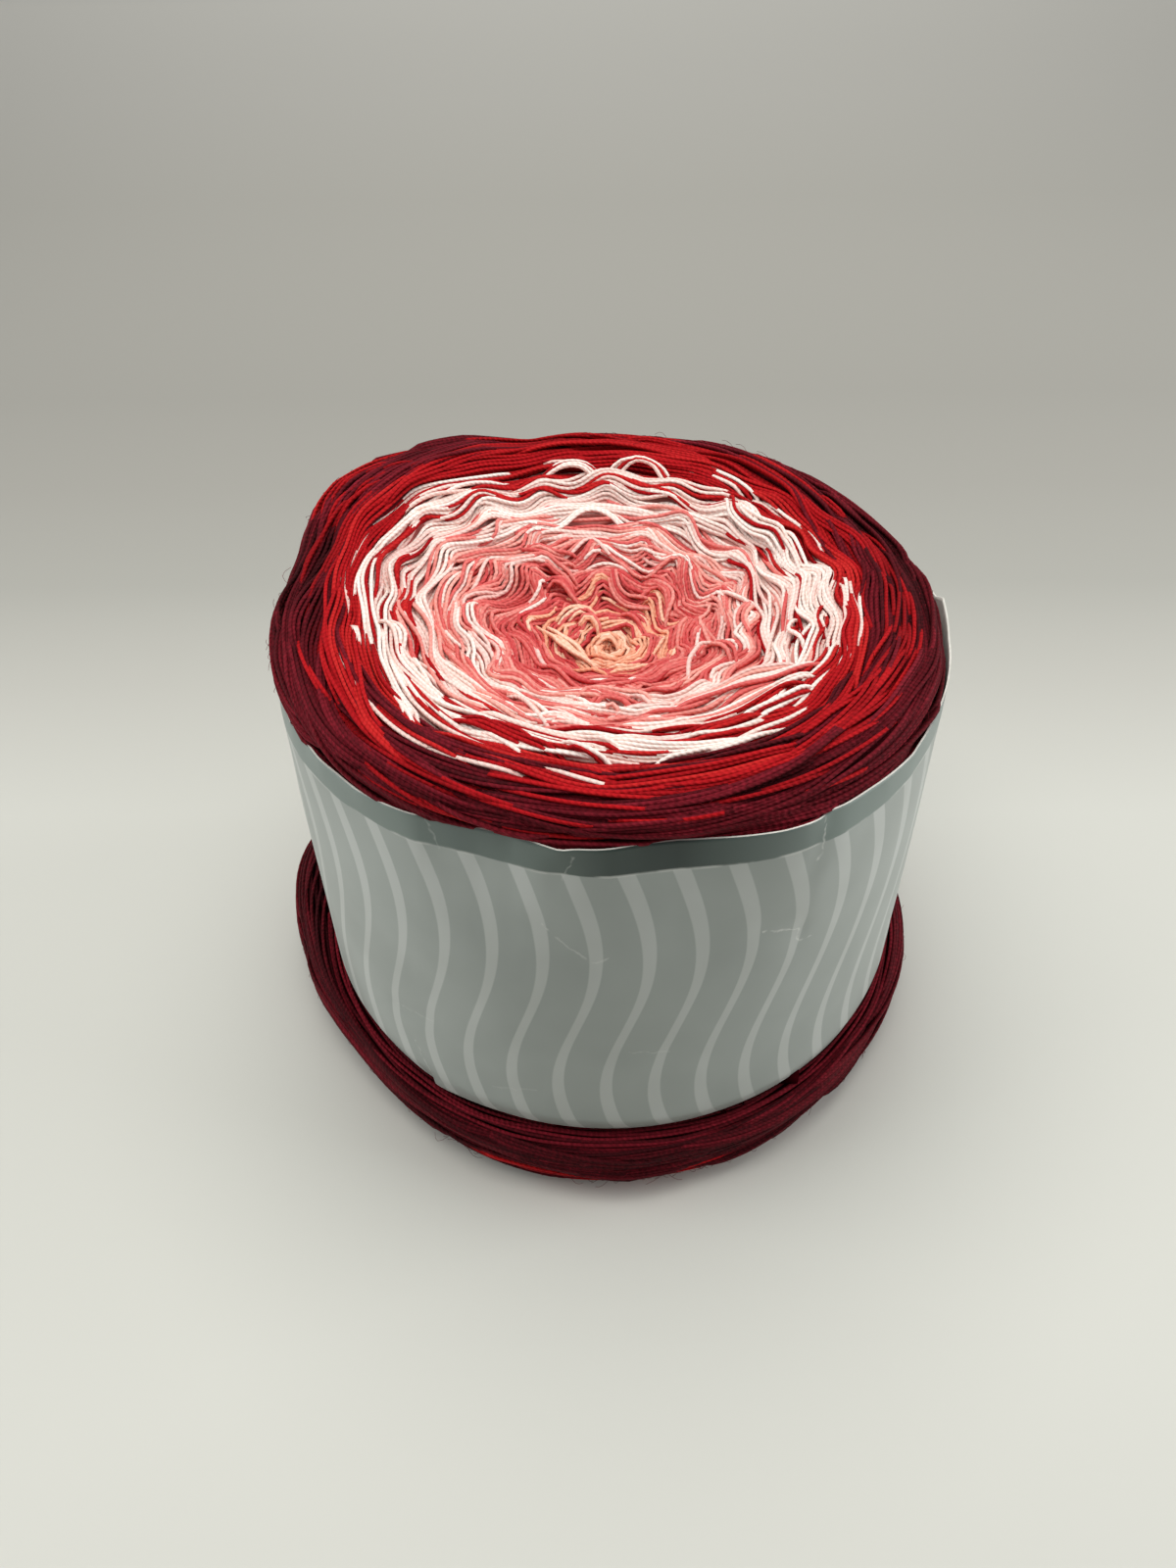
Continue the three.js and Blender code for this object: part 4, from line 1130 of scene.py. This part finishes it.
def paperBand():
    along, rise = paper["stepsAlong"], paper["stepsUp"]
    sweep = 360 + paper["overlap"]
    azimuth = (paper["seamAt"] + np.linspace(0, sweep, along + 1))[:, None]
    border, inBorder = paper["border"], 9  # levels in each border
    levels = np.concatenate([np.linspace(0, border, inBorder),
                             np.linspace(border, upperFold, rise + 3 - 2 * inBorder)[1:-1],
                             np.linspace(upperFold, sheetHeight, inBorder)])[None, :]
    height = paper["bottom"] + levels + 0 * azimuth
    bottom = paper["bottom"] + column(paperFoot, 1, azimuth)
    top = paper["top"] - column(paperTop, 3, azimuth)
    stretched = bottom + (paper["bottom"] + border - bottom) * levels / border
    height = np.where(levels < border, stretched, height)
    upper = (levels - upperFold) / border
    foldAt = paper["top"] - border
    height = np.where(upper > 0, foldAt + (top - foldAt) * upper, height)
    climb = smooth((azimuth - paper["seamAt"]), 360 - paper["ramp"], 360)
    overIt = climb * (paper["thickness"] + paper["layerGap"])
    inner = sheetRadius(azimuth, height) - paper["thickness"] + overIt
    verts, count = [], levels.shape[1]
    a = np.radians(azimuth)
    for radius in (inner + paper["thickness"], inner):
        x, y = cake["axis"][0] + radius * np.cos(a), cake["axis"][1] + radius * np.sin(a)
        verts.append(np.stack([x, y, height], -1))
    co = np.concatenate([v.reshape(-1, 3) for v in verts])
    half = (along + 1) * count
    i, j = np.meshgrid(np.arange(along), np.arange(count - 1), indexing="ij")
    corners = ((0, 0), (1, 0), (1, 1), (0, 1))
    outside = np.stack([((i + di) * count + j + dj).ravel() for di, dj in corners], -1)
    inside = outside[:, ::-1] + half
    lower, end = np.arange(along + 1) * count, along * count + np.arange(count)
    upward, start = lower + count - 1, np.arange(count)
    edges = [(lower, True), (upward, False), (start, False), (end, True)]
    faces = np.concatenate([outside, inside] + [edgeFaces(line, half, turned) for line, turned in edges])
    mesh = bpy.data.meshes.new("label_band")
    mesh.from_pydata((co * mm).tolist(), [], faces.tolist())
    mesh.update()
    unrolled = np.radians(azimuth + 0 * levels) * paper["radius"]
    uv = np.stack([unrolled, levels + 0 * azimuth], -1).reshape(-1, 2)
    uv = np.concatenate([uv, uv])
    loops = np.zeros(len(mesh.loops), np.int32)
    mesh.loops.foreach_get("vertex_index", loops)
    mesh.uv_layers.new(name="sheet").uv.foreach_set("vector", uv[loops].astype(np.float32).ravel())
    mesh.materials.append(coatedPaper())
    mesh.materials.append(barePaper())
    slots = np.zeros(len(faces), np.int32)
    slots[len(outside):] = 1
    mesh.polygons.foreach_set("material_index", slots)
    smoothFaces = np.ones(len(faces), bool)
    smoothFaces[2 * len(outside):] = False
    mesh.polygons.foreach_set("use_smooth", smoothFaces)
    print("label_band", len(faces), "faces")
    return addObject("label_band", mesh)


band = paperBand()
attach(band, "root")
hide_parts("paper_band")


floor = {
    "front": -1.6,
    "back": 2.4,
    "halfWidth": 2.0,
    "from": 0.0,  # metres behind the object between which the board's painted shade and light change
    "to": 1.1,
    # painted shade and light: darker behind the object, paler again further off
    "stops": [(0.04, "#CFD0CA"), (0.09, "#BCBCB6"), (0.14, "#A9A9A3"), (0.2, "#A4A39D"), (0.27, "#A3A29C"),
              (0.5, "#B9B8B1"), (0.7, "#D1D0C9"), (1.0, "#EDECE4")],
}


def boardWithPaintedShade():
    # Pale matt board with painted shade, darker behind the object, and painted light, paler again further
    # off: no gloss or grain.
    m = newMaterial("pale_matt_board_painted_shade")
    place = node(m, "TexCoord")
    parts = node(m, "SeparateXYZ", {"Vector": place.outputs["Object"]})
    behind = node(m, "MapRange", {"Value": parts.outputs["Y"]},
                  {"From Min": floor["from"], "From Max": floor["to"]})
    body = ramp(m, behind.outputs[0], floor["stops"])
    shader = node(m, "BsdfPrincipled", {"Base Color": body.outputs["Color"]},
                  {"Roughness": 0.65, "IOR": 1.45})
    return finishMaterial(m, shader)


def makeFloor():
    w = floor["halfWidth"]
    mesh = bpy.data.meshes.new("studio_floor")
    front, back = floor["front"], floor["back"]
    corners = [(-w, front, 0), (w, front, 0), (w, back, 0), (-w, back, 0)]
    mesh.from_pydata(corners, [], [(0, 1, 2, 3)])
    mesh.materials.append(boardWithPaintedShade())
    made = addObject("studio_floor", mesh)


def areaLight(name, place, target, size, power, tint="#FFFFFF"):
    light = bpy.data.lights.new(name, "AREA")
    light.shape, light.size, light.size_y = "RECTANGLE", size[0], size[1]
    light.energy, light.color = power, colour(tint)[:3]
    made = addObject(name, light)
    made.location = place
    made.rotation_euler = (Vector(target) - Vector(place)).to_track_quat("-Z", "Y").to_euler()


makeFloor()
areaLight("overhead_softbox", (-0.05, 0.05, 0.75), (0, 0, 0.05), (0.7, 0.6), 4.5, "#FDFBF5")
areaLight("left_softbox", (-0.7, -0.1, 0.3), (0, 0, 0.06), (0.5, 0.6), 2.5)
areaLight("right_softbox", (0.7, 0.0, 0.3), (0, 0, 0.06), (0.5, 0.6), 3.6)
areaLight("far_softbox", (0, 1.15, 0.8), (0, 1.151, 0), (1.6, 0.9), 2.9)
world = bpy.data.worlds.new("studio_fill")
world.use_nodes = True
world.node_tree.nodes["Background"].inputs["Color"].default_value = colour("#F2F1EE")
world.node_tree.nodes["Background"].inputs["Strength"].default_value = 0.22
scene.world = world

camera = {
    "place": (2.9, -184.6, 230.0),  # mm
    "down": 43.84,                  # degrees below level
    "turn": 1.45,
    "roll": -1.22,
    "focal": 27.05,                 # mm on a 36 mm frame, long side
}
lens = bpy.data.cameras.new("photo_camera")
lens.lens, lens.sensor_width, lens.sensor_fit = camera["focal"], 36, "AUTO"
lens.clip_start, lens.clip_end = 0.01, 10
view = addObject("photo_camera", lens)
turned = (Matrix.Rotation(radians(camera["turn"]), 4, "Z")
          @ Matrix.Rotation(radians(90 - camera["down"]), 4, "X")
          @ Matrix.Rotation(radians(camera["roll"]), 4, "Z"))
view.matrix_world = Matrix.Translation(Vector(camera["place"]) * mm) @ turned
scene.camera = view
scene.view_settings.view_transform = "Standard"
